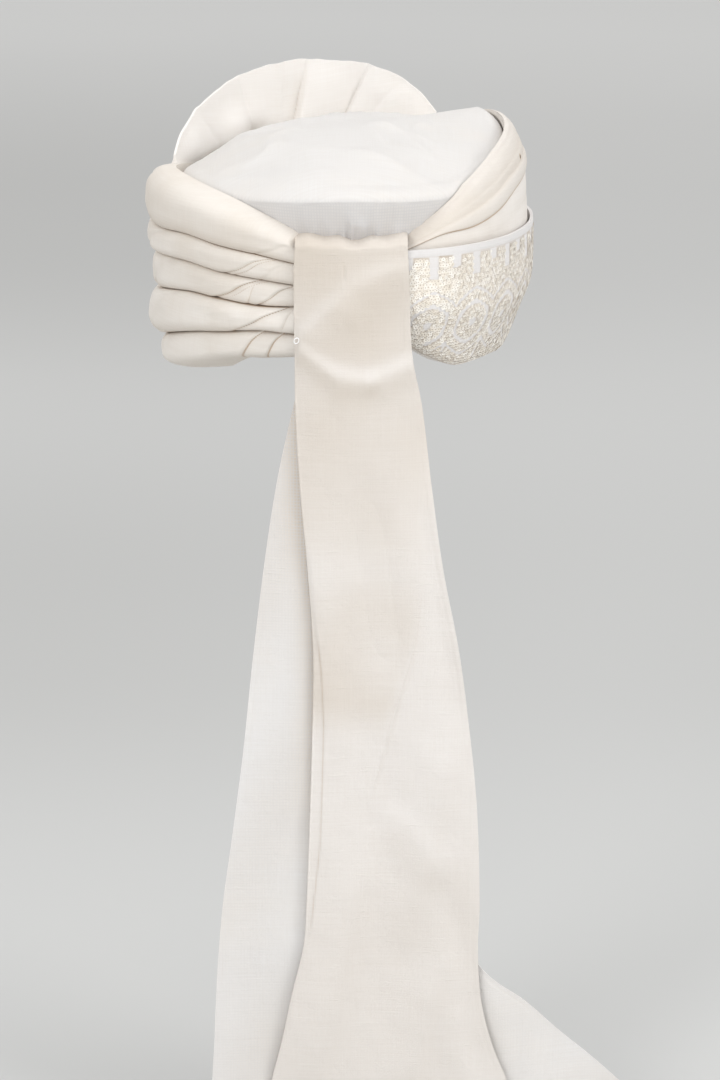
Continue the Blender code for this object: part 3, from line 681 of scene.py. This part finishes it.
def sewn(angle, height):
    """Whether a point of the band lies under sequins."""
    low = wrap_height(angle, "bottom") + PLAIN_EDGE
    along = np.interp(angle, band_angles, band_run) - np.interp(FIRST_MEDALLION, band_angles, band_run)
    aside = (along + REPEAT / 2) % REPEAT - REPEAT / 2
    above = (height - MEDALLION_HEIGHT) * MEDALLION_SHAPE
    corner = np.maximum(np.abs(aside), 0.5 * np.abs(aside) + 0.866 * np.abs(above))
    reach = 0.5 * np.hypot(aside, above) + 0.5 * corner
    ring = (reach > MEDALLION_PLAIN) & (reach < MEDALLION_RING)
    arch = (reach > CHANNEL) & (reach < ARCH)
    length = np.where(np.abs(aside) < REPEAT / 4, 1.3, 0.7) * GAP_LENGTH
    gap = np.abs((along + REPEAT / 4) % (REPEAT / 2) - REPEAT / 4) < GAP_HALF
    gap &= height > BAND_TOP - BAND_HEM - length
    outside = (reach >= PLAIN_ARCH) & np.where(above > 0, ~gap, np.abs(aside) < REPEAT / 2 - COLUMN_GAP)
    return ring | arch | outside | (height < low + BORDER)


def band_place(across, along, side):
    angle = BAND_START + across * (BAND_END - BAND_START)
    low = band_bottom(angle)
    height = low + along * (BAND_TOP - low)
    below = BAND_TOP - height
    stitched = bell((below - BAND_HEM) / STITCH_WIDTH)
    hem = 0.0002 * ease(below, BAND_HEM, BAND_HEM - 0.0008) - 0.0004 * stitched
    offset = band_outside(angle, height) - (1 - side) * BAND_WALL + side * hem
    # darker ground under the sequins, seen in their holes: partly the sewing thread's colour, partly painted
    # shade under the sequins
    under_sequins = sewn(angle, height) & (below > BAND_HEM)
    shade_and_age = under_sequins * (0.75 + 0.25 * ease(angle, 50, 30))
    threads = woven(np.radians(angle) * WRAP_GIRTH, height, 0.45 * stitched * side, shade_and_age * side)
    return round_head(angle, offset, height), threads


satin_white = (0.850, 0.830, 0.825, 1.0)
satin = cloth_material("band_satin", satin_white, COOL_WHITE, 0.3, slub=0.2, sheen=0.2, rough=0.6)
band = cloth_slab("band_cloth", 360, 84, band_place)
dress(band, "sequin_band", satin)


# Sequins. Small cupped rings of cream plastic sewn through their holes to the band, close together: a network
# of medallions with plain centres, arches over them, short columns under the hem, and a solid border below.
SEQUIN_RADIUS, SEQUIN_HOLE, SEQUIN_RISE = 0.00118, 0.00040, 0.00012
SEQUIN_BELLY, SEQUIN_SINK = 0.00080, 0.00008
SEQUIN_PITCH, SEQUIN_ROW, SEQUIN_STRAY = 0.00240, 0.00208, 0.0002
SEQUIN_LEAN, SEQUIN_LIFT = 0.07, (0.00025, 0.00050)
SEQUIN_SPLIT = 0.052  # height that parts the lower piece from the upper one


def unit(vectors):
    return vectors / np.linalg.norm(vectors, axis=1)[:, None]


def sequin_spots():
    """Each sequin's place on the band, the three directions of its disc, its scale and its shade."""
    chance = np.random.default_rng(7)
    rows = np.arange(0.003, BAND_TOP - BAND_HEM - 0.0008, SEQUIN_ROW)
    along = np.arange(0.001, band_run[-1] - 0.001, SEQUIN_PITCH)
    height, along = (part.ravel() for part in np.meshgrid(rows, along, indexing="ij"))
    along = along + SEQUIN_PITCH / 2 * (np.rint(height / SEQUIN_ROW) % 2)
    along = along + chance.normal(0, SEQUIN_STRAY, along.shape)
    height = height + chance.normal(0, SEQUIN_STRAY, height.shape)
    angle = np.interp(along, band_run, band_angles)
    low = wrap_height(angle, "bottom") + PLAIN_EDGE
    kept = sewn(angle, height) & (height > low) & (height < BAND_TOP - BAND_HEM - 0.001)
    angle, height = angle[kept], height[kept]
    step = 0.2

    def on_band(angle, height):
        return round_head(angle, band_outside(angle, height), height)

    across = on_band(angle + step, height) - on_band(angle - step, height)
    upwards = on_band(angle, height + 0.001) - on_band(angle, height - 0.001)
    out = unit(np.cross(across, upwards))
    out = unit(out + chance.normal(0, SEQUIN_LEAN, out.shape))
    across = unit(across - out * np.sum(across * out, axis=1)[:, None])
    frames = np.stack((across, np.cross(out, across), out), 1)
    lift = chance.uniform(*SEQUIN_LIFT, angle.shape)[:, None]
    scale = chance.uniform(0.88, 1.10, angle.shape) * (1 + 0.2 * ease(angle, 40, 28))
    return on_band(angle, height) + out * lift, frames, scale, chance.random(angle.shape)


bm = bmesh.new()
corners = ((SEQUIN_HOLE, 0), (SEQUIN_RADIUS, SEQUIN_RISE), (SEQUIN_BELLY, -SEQUIN_SINK))
rim = [bm.verts.new((radius, 0, height)) for radius, height in corners]
profile = [bm.edges.new(pair) for pair in zip(rim, (*rim[1:], rim[0]))]
bmesh.ops.spin(bm, geom=profile, cent=(0, 0, 0), axis=(0, 0, 1), angle=2 * math.pi, steps=7, use_merge=True)
bmesh.ops.recalc_face_normals(bm, faces=bm.faces[:])
bm.verts.index_update()
one_sequin = np.array([vert.co for vert in bm.verts])
one_faces = np.array([[vert.index for vert in face.verts] for face in bm.faces])
bm.free()

pearl, start, shader = bare_material("sequin_pearl")
shade = start.attribute("thread", 1).part(0)
cream = shade.between(0.0, 1.0).tint((0.84, 0.775, 0.675, 1.0), (0.97, 0.935, 0.87, 1.0))
plug(
    shader,
    {"Base Color": cream, "Roughness": shade * 0.25 + 0.28, "Coat Weight": 0.4, "Coat Roughness": 0.15},
)

spots, frames, scales, shades = sequin_spots()
lower = spots[:, 2] < SEQUIN_SPLIT
for name, chosen in (("band_sequins_lower", lower), ("band_sequins_upper", ~lower)):
    placed = np.einsum("vk,nkj->nvj", one_sequin, frames[chosen]) * scales[chosen][:, None, None]
    placed = (placed + spots[chosen][:, None, :]).reshape(-1, 3)
    first_corner = len(one_sequin) * np.arange(chosen.sum())[:, None, None]
    faces = (one_faces + first_corner).reshape(-1, one_faces.shape[1])
    mesh = bpy.data.meshes.new(name)
    mesh.from_pydata(placed.tolist(), [], faces.tolist())
    layer = mesh.attributes.new("thread", "FLOAT_VECTOR", "POINT")
    layer.data.foreach_set("vector", np.repeat(shades[chosen], len(one_sequin) * 3))
    mesh.materials.append(pearl)
    sequins = show(name, mesh)
    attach(sequins, "root")


# Crest. A doubled width of stiffened silk, folded at its top edge and gathered in fan pleats along its foot,
# that stands on the upper roll and wraps round the front.
CREST_HEIGHT, CREST_OFFSET = 0.191, 0.037
CREST_BASE, CREST_LEAN, CREST_WALL, CREST_TUCK = 0.008, 0.0025, 0.003, 0.005
CREST_EDGE, CREST_DISH = 0.0018, 0.003  # thickness at the folded top edge, and how far the fan bows in
PLEAT_ROUND, PLEAT_LINE = 0.0012, 0.0007

CREST = table(
    "angle top",  # the fan's top edge, a share of CREST_HEIGHT
    (-212, 0.805), (-206, 0.875), (-198, 0.933), (-189, 0.972), (-177, 0.99), (-165, 1),
    (-152, 0.988), (-139, 0.96), (-119, 0.882), (-104, 0.806), (-97, 0.725),
)

PLEATS = table(
    # angles at the crest's foot and top edge, then metres of depth and of width to either side, then how
    # brown the line of painted shade along it is
    "foot head depth left right stain",
    (-180, -201, 0.0018, 0.008, 0.004, 0),
    (-174, -187, 0.0056, 0.012, 0.0009, 0.5),
    (-158, -165, 0.0078, 0.015, 0.0009, 0.5),
    (-149, -138, 0.0036, 0.009, 0.005, 0),
    (-134, -115, 0.0016, 0.009, 0.006, 0),
)

HOLLOWS = table(
    # soft dents and bulges of the fan's inner face: where, how wide in degrees, how tall, metres away
    "angle up wide tall depth",
    (-146, 0.3, 5, 0.13, 0.0055),
    (-137, 0.5, 8, 0.18, -0.0035),
    (-126, 0.14, 8, 0.1, 0.004),
    (-106, 0.5, 10, 0.4, -0.004),
    (-170, 0.6, 6, 0.3, -0.0022),
    (-193, 0.6, 7, 0.3, -0.002),
)


def crest_seat(angle):
    """Height of the cloth that the crest stands on."""
    overlap = 4
    left = np.where(angle > FRONT_JOINT - 360 - overlap, stack_height(angle, "top"), 0.0)
    right = np.where(angle + 360 < FRONT_JOINT + overlap, wrap_height(angle + 360, "top"), 0.0)
    return np.maximum(left, right)


def crest_place(across, up, side):
    angle = CREST[0].angle + across * (CREST[-1].angle - CREST[0].angle)
    low = crest_seat(angle) - CREST_TUCK
    high = np.maximum(CREST_HEIGHT * read(CREST, angle, "top"), low + CREST_WALL)
    base = np.minimum(CREST_BASE, CREST_WALL + (high - low) / 2)
    wall = base + (CREST_EDGE - base) * ease(up, 0.0, 0.9)
    fold, stain = 0 * angle, 0 * angle
    for pleat in PLEATS:
        middle = pleat.foot + (pleat.head - pleat.foot) * up**0.8
        away = np.radians(angle - middle) * (HALF_LENGTH + CREST_OFFSET)
        shape = np.exp(-blunt(away, PLEAT_ROUND) / np.where(away < 0, pleat.right, pleat.left))
        held = ease(up, 0.0, 0.25) * (1.0 - 0.60 * ease(up, 0.50, 1.0))
        fold = fold + pleat.depth * shape * held
        stain = np.maximum(stain, pleat.stain * np.exp(-np.abs(away) / PLEAT_LINE) * held)
    for hollow in HOLLOWS:
        near = ((angle - hollow.angle) / hollow.wide) ** 2 + ((up - hollow.up) / hollow.tall) ** 2
        fold = fold + hollow.depth * np.exp(-near)
    fold = fold - CREST_DISH * ease(up, 0.0, 0.35) * np.sin(np.pi * across) ** 0.5
    slack = 0.0007 * soft_noise(83, angle / 14, up * 2.5) * ease(up, 0.05, 0.4) * ease(up, 1.0, 0.8)
    ends = ease(across, 0.0, 0.08) * ease(across, 1.0, 0.88)
    foot = np.maximum(CREST_OFFSET - CREST_LEAN, cap_offset(angle, CROWN_EDGE) + base / 2 + 3 * LAYER_GAP)
    offset = foot + (np.maximum(CREST_OFFSET, foot) - foot) * up + (fold + slack) * ends + (side - 0.5) * wall
    edge = 0.0005 * soft_noise(84, angle / 5.0)
    # painted shade in the hollows of the pleats and dents
    shaded = np.clip(45 * (fold - 0.0010), 0, 0.16)
    threads = woven(np.radians(angle) * ROLL_GIRTH, up * (high - low), stain, shaded)
    return round_head(angle, offset, low + up * (high - low + edge)), threads


# the crest silk is painted light: partly its own whiter tone, and partly lighter to offset the shade its
# inner face sits in
crest_silk = cloth_material("crest_silk", (0.945, 0.915, 0.880, 1.0), IVORY, 0.3)
crest = cloth_slab("fan_crest", 300, 42, crest_place)
dress(crest, "crest", crest_silk)


# Front sash. A strip of the same silk in three lengthwise pleats, drawn over the joint of rolls and wraps in
# front and over the crest's foot.
SASH_WIDTH, SASH_WALL, SASH_TOP, SASH_PLEATS = 0.058, 0.0022, 0.152, 3
CREST_PROUD = CREST_OFFSET + CREST_BASE / 2 + 0.0035


def front_outside(angle, height):
    """Offset of the rolls or the banded wraps under the sash, blended where they meet."""
    joint = FRONT_JOINT - 360
    rolls = ROLL_REACH * read(STACK, angle, "reach")
    low, fold = wrap_height(angle + 360, "bottom"), wrap_height(angle + 360, "fold")
    share = np.minimum(span(height, low, fold), SHARED)
    wraps = wrap_outside(angle + 360, share, LOWER_PROFILE, LAYER_GAP) + BAND_WALL + 2 * LAYER_GAP
    under = wraps + (np.maximum(rolls, wraps) - wraps) * ease(angle, joint - 6, joint)
    return np.maximum(under, CREST_PROUD * ease(height, 0.0, BAND_TOP))


def sash_place(across, up, side):
    low = min(stack_height(FRONT_JOINT - 360, "bottom"), wrap_height(FRONT_JOINT, "bottom"))
    width = math.degrees(SASH_WIDTH / (HALF_LENGTH + ROLL_REACH)) * (0.8 + 0.4 * up)
    angle = FRONT_JOINT - 360 + width * (across - 0.5)
    height = low + up * (SASH_TOP - low)
    wave = (SASH_PLEATS * across) % 1.0
    pleat = ease(wave, 0.0, 0.25) * ease(wave, 1.0, 0.55)
    slack = 0.0004 * soft_noise(91, across * 6, up * 3)
    offset = front_outside(angle, height) + 4 * LAYER_GAP + SASH_WALL * (side + 0.6 * pleat) + slack * side
    # painted shade browns the sash in the valleys of its pleats
    threads = woven(across * SASH_WIDTH, height, 0.5 * ease(pleat, 0.15, 0.0))
    return round_head(angle, offset, height), threads


sash = cloth_slab("pleated_sash", 60, 80, sash_place)
dress(sash, "front_sash", crest_silk)


# Outer tail. One long strip of silk that comes over the back joint as a panel and hangs as a tail: its left
# edge is folded under and pressed, its right edge and lower end are narrow hems.
PANEL_WIDTH, TAIL_LENGTH, TAIL_WALL = 0.077, 0.638, 0.0010
TAIL_WAVE, PANEL_CORNER, PANEL_RIPPLE, FOLD_GAP = 0.008, 0.005, 0.0015, 0.0009
PANEL_LEFT, PANEL_RIGHT, PANEL_HIGHEST = -16, 20, 18  # degrees
FLAP_DEPTH = TAIL_WALL + FOLD_GAP
END_HEM, SIDE_HEM, HEM_LINE = 0.007, 0.0045, 0.0006
TUCK_PLACE, TUCK_LOW, TUCK_HIGH = -0.0021, 0.080, 0.094  # a short sewn tuck high on the panel
BACK_RIM = stack_height(0, "bottom")

TAIL = table(
    "fall left right flap",  # fall is a share of TAIL_LENGTH, the rest are shares of PANEL_WIDTH
    (0, -0.44, 0.53, 0.07),
    (0.03, -0.452, 0.545, 0.07),
    (0.111, -0.445, 0.571, 0.07),
    (0.174, -0.442, 0.665, 0.3),
    (0.262, -0.403, 0.753, 1.1),
    (0.352, -0.338, 0.857, 1.05),
    (0.441, -0.292, 1, 0.93),
    (0.52, -0.299, 1.09, 0.72),
    (0.626, -0.325, 1.18, 0.5),
    (0.746, -0.364, 1.215, 0.2),
    (0.793, -0.39, 1.205, 0.1),
    (0.856, -0.506, 1.234, 0.08),
    (0.912, -0.597, 1.338, 0.08),
    (0.964, -0.7, 1.5, 0.08),
    (1, -0.753, 1.6, 0.08),
)

DRAGS = table(
    # soft ridges and hollows, from one point of the face to the next: metres wide on either hand, and lift
    "x1 z1 x2 z2 left right lift",
    (-0.036, 0.036, 0, 0.072, 0.006, 0.02, 0.0042),
    (-0.004, 0.07, 0.046, 0.094, 0.009, 0.02, 0.0036),
    (-0.036, 0.036, -0.008, 0.016, 0.0045, 0.01, 0.0034),
    (-0.012, 0.016, 0.02, 0.011, 0.0055, 0.012, 0.004),
    (0.014, 0.011, 0.048, 0.024, 0.0055, 0.012, 0.0034),
    (TUCK_PLACE, 0.093, TUCK_PLACE, 0.081, 0.001, 0.001, -0.0009),
    (0.047, -0.177, 0.018, -0.284, 0.0012, 0.0016, 0.001),
    (0.056, -0.049, 0.084, -0.215, 0.007, 0.007, 0.0035),
    (0.01, -0.06, 0.03, -0.2, 0.014, 0.014, -0.003),
    (-0.02, -0.1, -0.01, -0.26, 0.012, 0.012, 0.0025),
    (0.07, -0.24, 0.04, -0.4, 0.012, 0.022, 0.0035),
    (0.03, -0.3, 0.07, -0.35, 0.012, 0.016, 0.0022),
    (0.01, -0.33, -0.03, -0.52, 0.014, 0.022, 0.004),
    (0.06, -0.42, 0.045, -0.52, 0.008, 0.02, 0.003),
    (0.075, -0.36, 0.1, -0.52, 0.014, 0.012, -0.004),
)


def panel_offset():
    """Offset of the panel's middle, clear of the band, and of the rolls with the folded edge laid on them."""
    rolls = ROLL_REACH * read(STACK, PANEL_LEFT, "reach") + FLAP_DEPTH
    wraps = WRAP_REACH * read(WRAPS, PANEL_RIGHT, "reach") + BAND_WALL + 2 * LAYER_GAP
    return max(rolls, wraps) + TAIL_WALL / 2 + 2 * LAYER_GAP


def panel_top():
    rolls, wraps = stack_height(PANEL_LEFT, "top") + FLAP_DEPTH, wrap_height(PANEL_HIGHEST, "top")
    return max(rolls, wraps) + TAIL_WALL / 2 + LAYER_GAP


def drape(x, height):
    """Where cloth hanging at the back lies on Y: round the turban above its rim, and folded below it."""
    half, length = HALF_WIDTH + panel_offset(), HALF_LENGTH + panel_offset()
    share = np.minimum(np.abs(x) / half, 0.95)
    curved = -length * np.sqrt(1 - share**2)
    fall = np.maximum(BACK_RIM - height, 0.0) / TAIL_LENGTH
    fan = x / (PANEL_WIDTH * (1 + 1.5 * fall))
    fold = 0.65 * np.sin(5.2 * fan + 2.4 * fall) + 0.35 * np.sin(9.0 * fan - 3.0 * fall + 1.2)
    flat = curved + (-length - curved) * 0.9 * ease(fall, 0.0, 0.33)
    return flat + TAIL_WAVE * fold * ease(fall, 0.0, 1.0)


def tail_path(x, turn, height):
    """A point midway through the tail. turn is 0 at the cap and 1 where the panel starts down.

    From there on the height counts.
    """
    half = HALF_WIDTH + panel_offset()
    angle = np.degrees(np.arcsin(np.clip(x / half, -1, 1)))
    sag = 0.0026 * bell((x - 0.006) / 0.013) + 0.0009 * np.sin(2 * math.pi * x / 0.021)
    top = panel_top() + PANEL_RIPPLE - sag
    inner = cap_offset(angle, top) + LAYER_GAP
    offset = inner + (panel_offset() - inner) * (1 - (1 - np.clip(turn, 0, 1)) ** 1.6)
    angle = np.degrees(np.arcsin(np.clip(x / (HALF_WIDTH + offset), -1, 1)))
    above = round_head(angle, offset, top - (PANEL_CORNER + PANEL_RIPPLE - sag) * ease(turn, 0.45, 1.3))
    hanging = np.stack((x, drape(x, height), height), -1)
    return np.where((turn >= 1)[:, None], hanging, above)


def dragged(x, height):
    """How far the hanging cloth stands out in its ridges and hollows."""
    lift = 0 * x
    for drag in DRAGS:
        run, fall = drag.x2 - drag.x1, drag.z2 - drag.z1
        length = math.hypot(run, fall)
        share = ((x - drag.x1) * run + (height - drag.z1) * fall) / length**2
        away = ((x - drag.x1) * fall - (height - drag.z1) * run) / length
        ends = ease(share, -0.15, 0.25) * ease(share, 1.15, 0.75)
        lift = lift + drag.lift * bell(away / np.where(away < 0, drag.left, drag.right)) * ends
    return lift


TOP_SHARE, FLAP_SHARE, TURN_SHARE = 0.05, 0.16, 0.24
SEEN_THROUGH = table(
    "height x",  # the inner edge of the folded-under flap, which shows through
    (-0.285, 0.018), (-0.229, 0.031), (-0.177, 0.0475), (-0.129, 0.0525), (-0.09, 0.058), (-0.06, 0.09),
)
STRIP_EDGE = table(
    "height width",  # the pressed fold along the left edge
    (-0.4, 0), (-0.385, 0.0025), (-0.326, 0.0065), (-0.235, 0.0065), (-0.196, 0.0042), (-0.15, 0),
)


def tail_place(across, along, side):
    def middle(row):
        fall = span(row, TOP_SHARE, 1)
        left, right, flap = (PANEL_WIDTH * read(TAIL, fall, name) for name in ("left", "right", "flap"))
        x = left + (right - left) * span(across, TURN_SHARE, 1) + flap * span(across, FLAP_SHARE, 0)
        start = panel_top() - PANEL_CORNER
        return tail_path(x, row / TOP_SHARE, start - fall * (TAIL_LENGTH - PANEL_CORNER)), left, right

    step = 0.002
    point, left, right = middle(along)
    down = middle(np.minimum(along + step, 1))[0] - middle(np.maximum(along - step, 0))[0]
    leftwards = np.array([[-1.0, 0.0, 0.0]])
    out = unit(np.cross(leftwards, down))
    turn = np.pi * span(across, FLAP_SHARE, TURN_SHARE)
    facing = -np.cos(turn)[:, None] * out + np.sin(turn)[:, None] * leftwards
    front = ease(across, TURN_SHARE - 0.02, TURN_SHARE + 0.02)
    x, height = point[:, 0], point[:, 2]
    lift = dragged(x, height) * front * ease(along, TOP_SHARE, TOP_SHARE + 0.02)
    lift = lift + 0.0010 * soft_noise(95, x * 22 + height * 9, height * 14) * ease(height, -0.02, -0.2)
    fine = soft_noise(98, x * 75 + height * 35, height * 45 - x * 12)
    lift = lift + 0.0003 * fine * ease(along, 0.05, 0.12)
    lift = lift * np.where(height > 0.02, np.where(lift < 0, 0.35, 1.0), 1.0)
    edge = np.interp(height, *zip(*STRIP_EDGE))
    below_edge = ease(edge - (x - left), -0.0006, 0.0006) * ease(edge, 0.0, 0.001)
    pressed = bell((x - left - edge) / 0.0009) * ease(edge, 0.0005, 0.003)
    end, selvedge = TAIL_LENGTH * (1 - along), right - x
    hem = bell((end - END_HEM) / HEM_LINE) + 0.8 * bell((selvedge - SIDE_HEM) / 0.0007)
    lift = lift - 0.0012 * below_edge * front - 0.0004 * hem * side
    half = FLAP_DEPTH / 2
    centre = point - out * half
    points = centre + facing * (half + TAIL_WALL * (side - 0.5))[:, None] + out * lift[:, None]
    tuck = bell((x - TUCK_PLACE) / 0.0006)
    tuck = tuck * ease(height, TUCK_LOW, TUCK_LOW + 0.003) * ease(height, TUCK_HIGH, TUCK_HIGH - 0.003)
    # brown lines: painted shade at the pressed edge's step and in the tuck, and darker lines at the hems
    stain = np.maximum(0.5 * pressed * front, np.maximum(0.4 * tuck * front, 0.28 * hem))
    seen_through = np.interp(height, *zip(*SEEN_THROUGH))
    line = bell((x - seen_through) / 0.0011)
    line = line * ease(height, -0.290, -0.270) * ease(height, -0.10, -0.15)
    stain = np.maximum(stain, 0.33 * line * front)
    # beige over the folded-under flap in the upper tail, with a band about 0.125 m down left paler as painted
    # light, where the tail flares out to face the lamps
    beige_and_lit_band = ease(height, -0.250, -0.215) * ease(seen_through - x, -0.008, 0.010)
    lit_band = height + 0.125 + 0.010 * soft_noise(96, x * 18, height * 9)
    beige_and_lit_band = beige_and_lit_band * (1 - 0.7 * bell(lit_band / 0.024)) * (0.32 + 0.20 * soft_noise(97, x * 25, height * 16))
    # painted shade on the slopes of the ridges and hollows that face down
    reach = 0.004
    shade = 75 * (dragged(x, height + reach) - dragged(x, height - reach))
    shade = shade * ease(along, TOP_SHARE, TOP_SHARE + 0.02)
    # darker all over and more low down; more again on the panel, as painted shade where it hangs upright and
    # gets less light from above
    tone_and_panel_shade = 0.22 + 0.16 * ease(height, -0.26, -0.40) + 0.20 * ease(height, 0.014, 0.040)
    return points, woven(x, height, stain, np.clip(tone_and_panel_shade + beige_and_lit_band + np.clip(shade, -0.4, 0.45), 0, 1))


tail_silk = cloth_material("tail_silk", (0.870, 0.842, 0.820, 1.0), COOL_WHITE, 0.4, slub=0.9)
outer = cloth_slab("outer_tail", 130, 250, tail_place)
dress(outer, "tail_outer", tail_silk)


# Under tail. A wider strip of thin white silk that comes out from under the panel and hangs close behind the
# outer tail, with a selvedge at the left and a narrow hem along the flare at the right.
UNDER_LENGTH, UNDER_WIDTH, UNDER_WALL = 0.612, 0.077, 0.0010

UNDER = table(
    "fall left right",  # fall is a share of UNDER_LENGTH, left and right shares of UNDER_WIDTH
    (0, -0.3, 0.23),
    (0.065, -0.32, 0.25),
    (0.145, -0.48, 0.4),
    (0.225, -0.62, 0.6),
    (0.32, -0.74, 0.675),
    (0.438, -0.857, 0.78),
    (0.547, -0.95, 0.857),
    (0.657, -1.065, 0.9),
    (0.738, -1.155, 0.96),
    (0.815, -1.21, 1.22),
    (0.869, -1.235, 1.69),
    (0.91, -1.25, 2.01),
    (0.961, -1.275, 2.45),
    (1, -1.29, 2.78),
)


def under_place(across, fall, side):
    tucked = (TAIL_WALL + UNDER_WALL) / 2 + LAYER_GAP
    hanging = TAIL_WALL + FLAP_DEPTH + UNDER_WALL / 2 + 2 * LAYER_GAP
    left, right = (UNDER_WIDTH * read(UNDER, fall, name) for name in ("left", "right"))
    x = left + (right - left) * across
    height = panel_top() - TAIL_LENGTH + (1 - fall) * UNDER_LENGTH
    inwards = tucked + (hanging - tucked) * ease(BACK_RIM - height, -PANEL_CORNER * 3, 0.0)
    loose = ease(fall, 0.2, 0.5)
    outward = np.maximum(-dragged(x, height), 0) * loose
    ripple = 0.0012 * (1 + soft_noise(101, x * 30, height * 9)) * loose
    ripple = ripple + 0.0003 * (1 + soft_noise(105, x * 70 - height * 30, height * 40)) * loose
    from_edge = np.minimum(x - left, (right - x) * 0.9)
    hem = bell((from_edge - 0.0035) / 0.0005) * loose
    y = drape(x, height) + inwards + outward + ripple + UNDER_WALL * (0.5 - side) + 0.0003 * hem * side
    # a painted shadow of the outer tail along its left edge, and a patchy darkening all over
    beside = x - PANEL_WIDTH * read(TAIL, (panel_top() - height) / TAIL_LENGTH, "left")
    shaded = 0.85 * bell(beside / (0.013 + 0.004 * soft_noise(104, height * 16)))
    shaded = shaded * ease(height, -0.40, -0.12)
    shaded = shaded + 0.10 + 0.20 * np.clip(soft_noise(103, x * 20, height * 11), -0.5, 1)
    return np.stack((x, y, height), -1), woven(x, height, 0.3 * hem, shaded)


under_silk = cloth_material("under_silk", (0.825, 0.812, 0.802, 1.0), IVORY, 0.25, slub=0.7, grid=0.5)
under = cloth_slab("under_tail", 110, 200, under_place)
dress(under, "tail_under", under_silk)


# Pin loop. The eye of a fine steel pin that holds the panel's folded corner to the rolls.
LOOP_RADIUS, LOOP_WIRE, LOOP_HEIGHT, LOOP_STRETCH, LOOP_TILT = 0.0016, 0.0003, 0.0168, 1.25, 24.0
steel, start, shader = bare_material("pin_steel")
rubbed = start.place().noise(1800.0, 2.0)
plug(shader, {"Base Color": (0.90, 0.90, 0.90, 1.0), "Roughness": rubbed * 0.25 + 0.18, "Coat Weight": 0.5})

bm = bmesh.new()
beside = Matrix.Translation((LOOP_RADIUS, 0, 0))
bmesh.ops.create_circle(bm, segments=14, radius=LOOP_WIRE, matrix=beside)
wire = bm.edges[:]
bmesh.ops.spin(bm, geom=wire, cent=(0, 0, 0), axis=(0, 1, 0), angle=2 * math.pi, steps=40, use_merge=True)
bmesh.ops.recalc_face_normals(bm, faces=bm.faces[:])
loop_x = TAIL[2].left * PANEL_WIDTH
loop_z = BACK_RIM + LOOP_HEIGHT
loop_y = float(drape(np.array([loop_x]), np.array([loop_z]))[0]) - TAIL_WALL / 2 - LOOP_WIRE - 7 * LAYER_GAP
bmesh.ops.scale(bm, vec=(1, 1, LOOP_STRETCH), verts=bm.verts[:])
tilt = Matrix.Rotation(math.radians(LOOP_TILT), 3, "Y")
bmesh.ops.rotate(bm, cent=(0, 0, 0), matrix=tilt, verts=bm.verts[:])
bmesh.ops.translate(bm, vec=(loop_x, loop_y, loop_z), verts=bm.verts[:])
loop = show_bmesh("wire_loop", bm)
loop.data.shade_smooth()
dress(loop, "pin_loop", steel)


# Stage. A pale grey floor just under the tails, soft light from above and from the camera's side, and the
# camera.
FLOOR_HEIGHT, FLOOR_RADIUS = -0.575, 14.0
CAMERA_PLACE, CAMERA_TILT = (0.00866, -2.3385, 0.5399), 16.27  # degrees down from level
floor_grey, start, shader = bare_material("floor_grey")
place = start.place()
spread, aside, depth = place.noise(0.7, 1.0), place.part(0), place.part(1)
# the floor is painted: lighter far off, with a near band that is a painted shadow of the object and a far
# band of painted shade, darker on the left
near_painted_shadow = depth.between(0.3, 1.0) * (1 - depth.between(1.2, 2.4))
far_painted_shade = depth.between(1.8, 3.3) * (1 - depth.between(3.8, 6.2))
painted_floor_shade = (near_painted_shadow * 0.60 + far_painted_shade * 0.60) * (1 - aside.between(-0.4, 0.4) * 0.50)
tone = depth.between(-0.5, 5.0).tint((0.595, 0.598, 0.590, 1.0), (0.70, 0.70, 0.69, 1.0))
tone = (painted_floor_shade * 0.85 + spread * 0.15).tint(tone, (0.46, 0.46, 0.45, 1.0))
plug(shader, {"Base Color": tone, "Roughness": 0.95, "Specular IOR Level": 0.1})
bm = bmesh.new()
under_all = Matrix.Translation((0, 0, FLOOR_HEIGHT))
bmesh.ops.create_circle(bm, cap_ends=True, segments=96, radius=FLOOR_RADIUS, matrix=under_all)
floor = show_bmesh("floor", bm)
floor.data.materials.append(floor_grey)

world = bpy.data.worlds.new("studio")
world.use_nodes = True
plug(world.node_tree.nodes["Background"], {"Color": (1.0, 1.0, 1.0, 1.0), "Strength": 0.85})
bpy.context.scene.world = world
bpy.context.scene.view_settings.view_transform = "Standard"

LAMPS = table(
    "name place aim size watts",
    ("overhead", (0.2, 0.3, 2.2), (0, 0, 0.1), 1.4, 10),
    ("left_high", (-1.6, -2.5, 1.5), (0, 0, 0), 1, 26),
    ("right_high", (2.2, -1.9, 1.1), (0, 0, 0), 1.2, 26),
    ("low_bounce", (0, -2.2, -0.45), (0, 0, 0.05), 1, 6),
)
for lamp in LAMPS:
    light = bpy.data.lights.new(lamp.name, "AREA")
    light.shape, light.size, light.energy = "DISK", lamp.size, lamp.watts
    lit = show(lamp.name, light)
    lit.location = lamp.place
    lit.visible_camera = False
    aim = Matrix.Translation(lamp.aim).translation - lit.location
    lit.rotation_euler = aim.to_track_quat("-Z", "Y").to_euler()

camera = bpy.data.cameras.new("portrait")
camera.lens, camera.sensor_width = 110.8, 36.0
camera.clip_end = 100.0
portrait = show("portrait", camera)
portrait.location = CAMERA_PLACE
portrait.rotation_euler = (math.radians(90 - CAMERA_TILT), 0, 0)
bpy.context.scene.camera = portrait
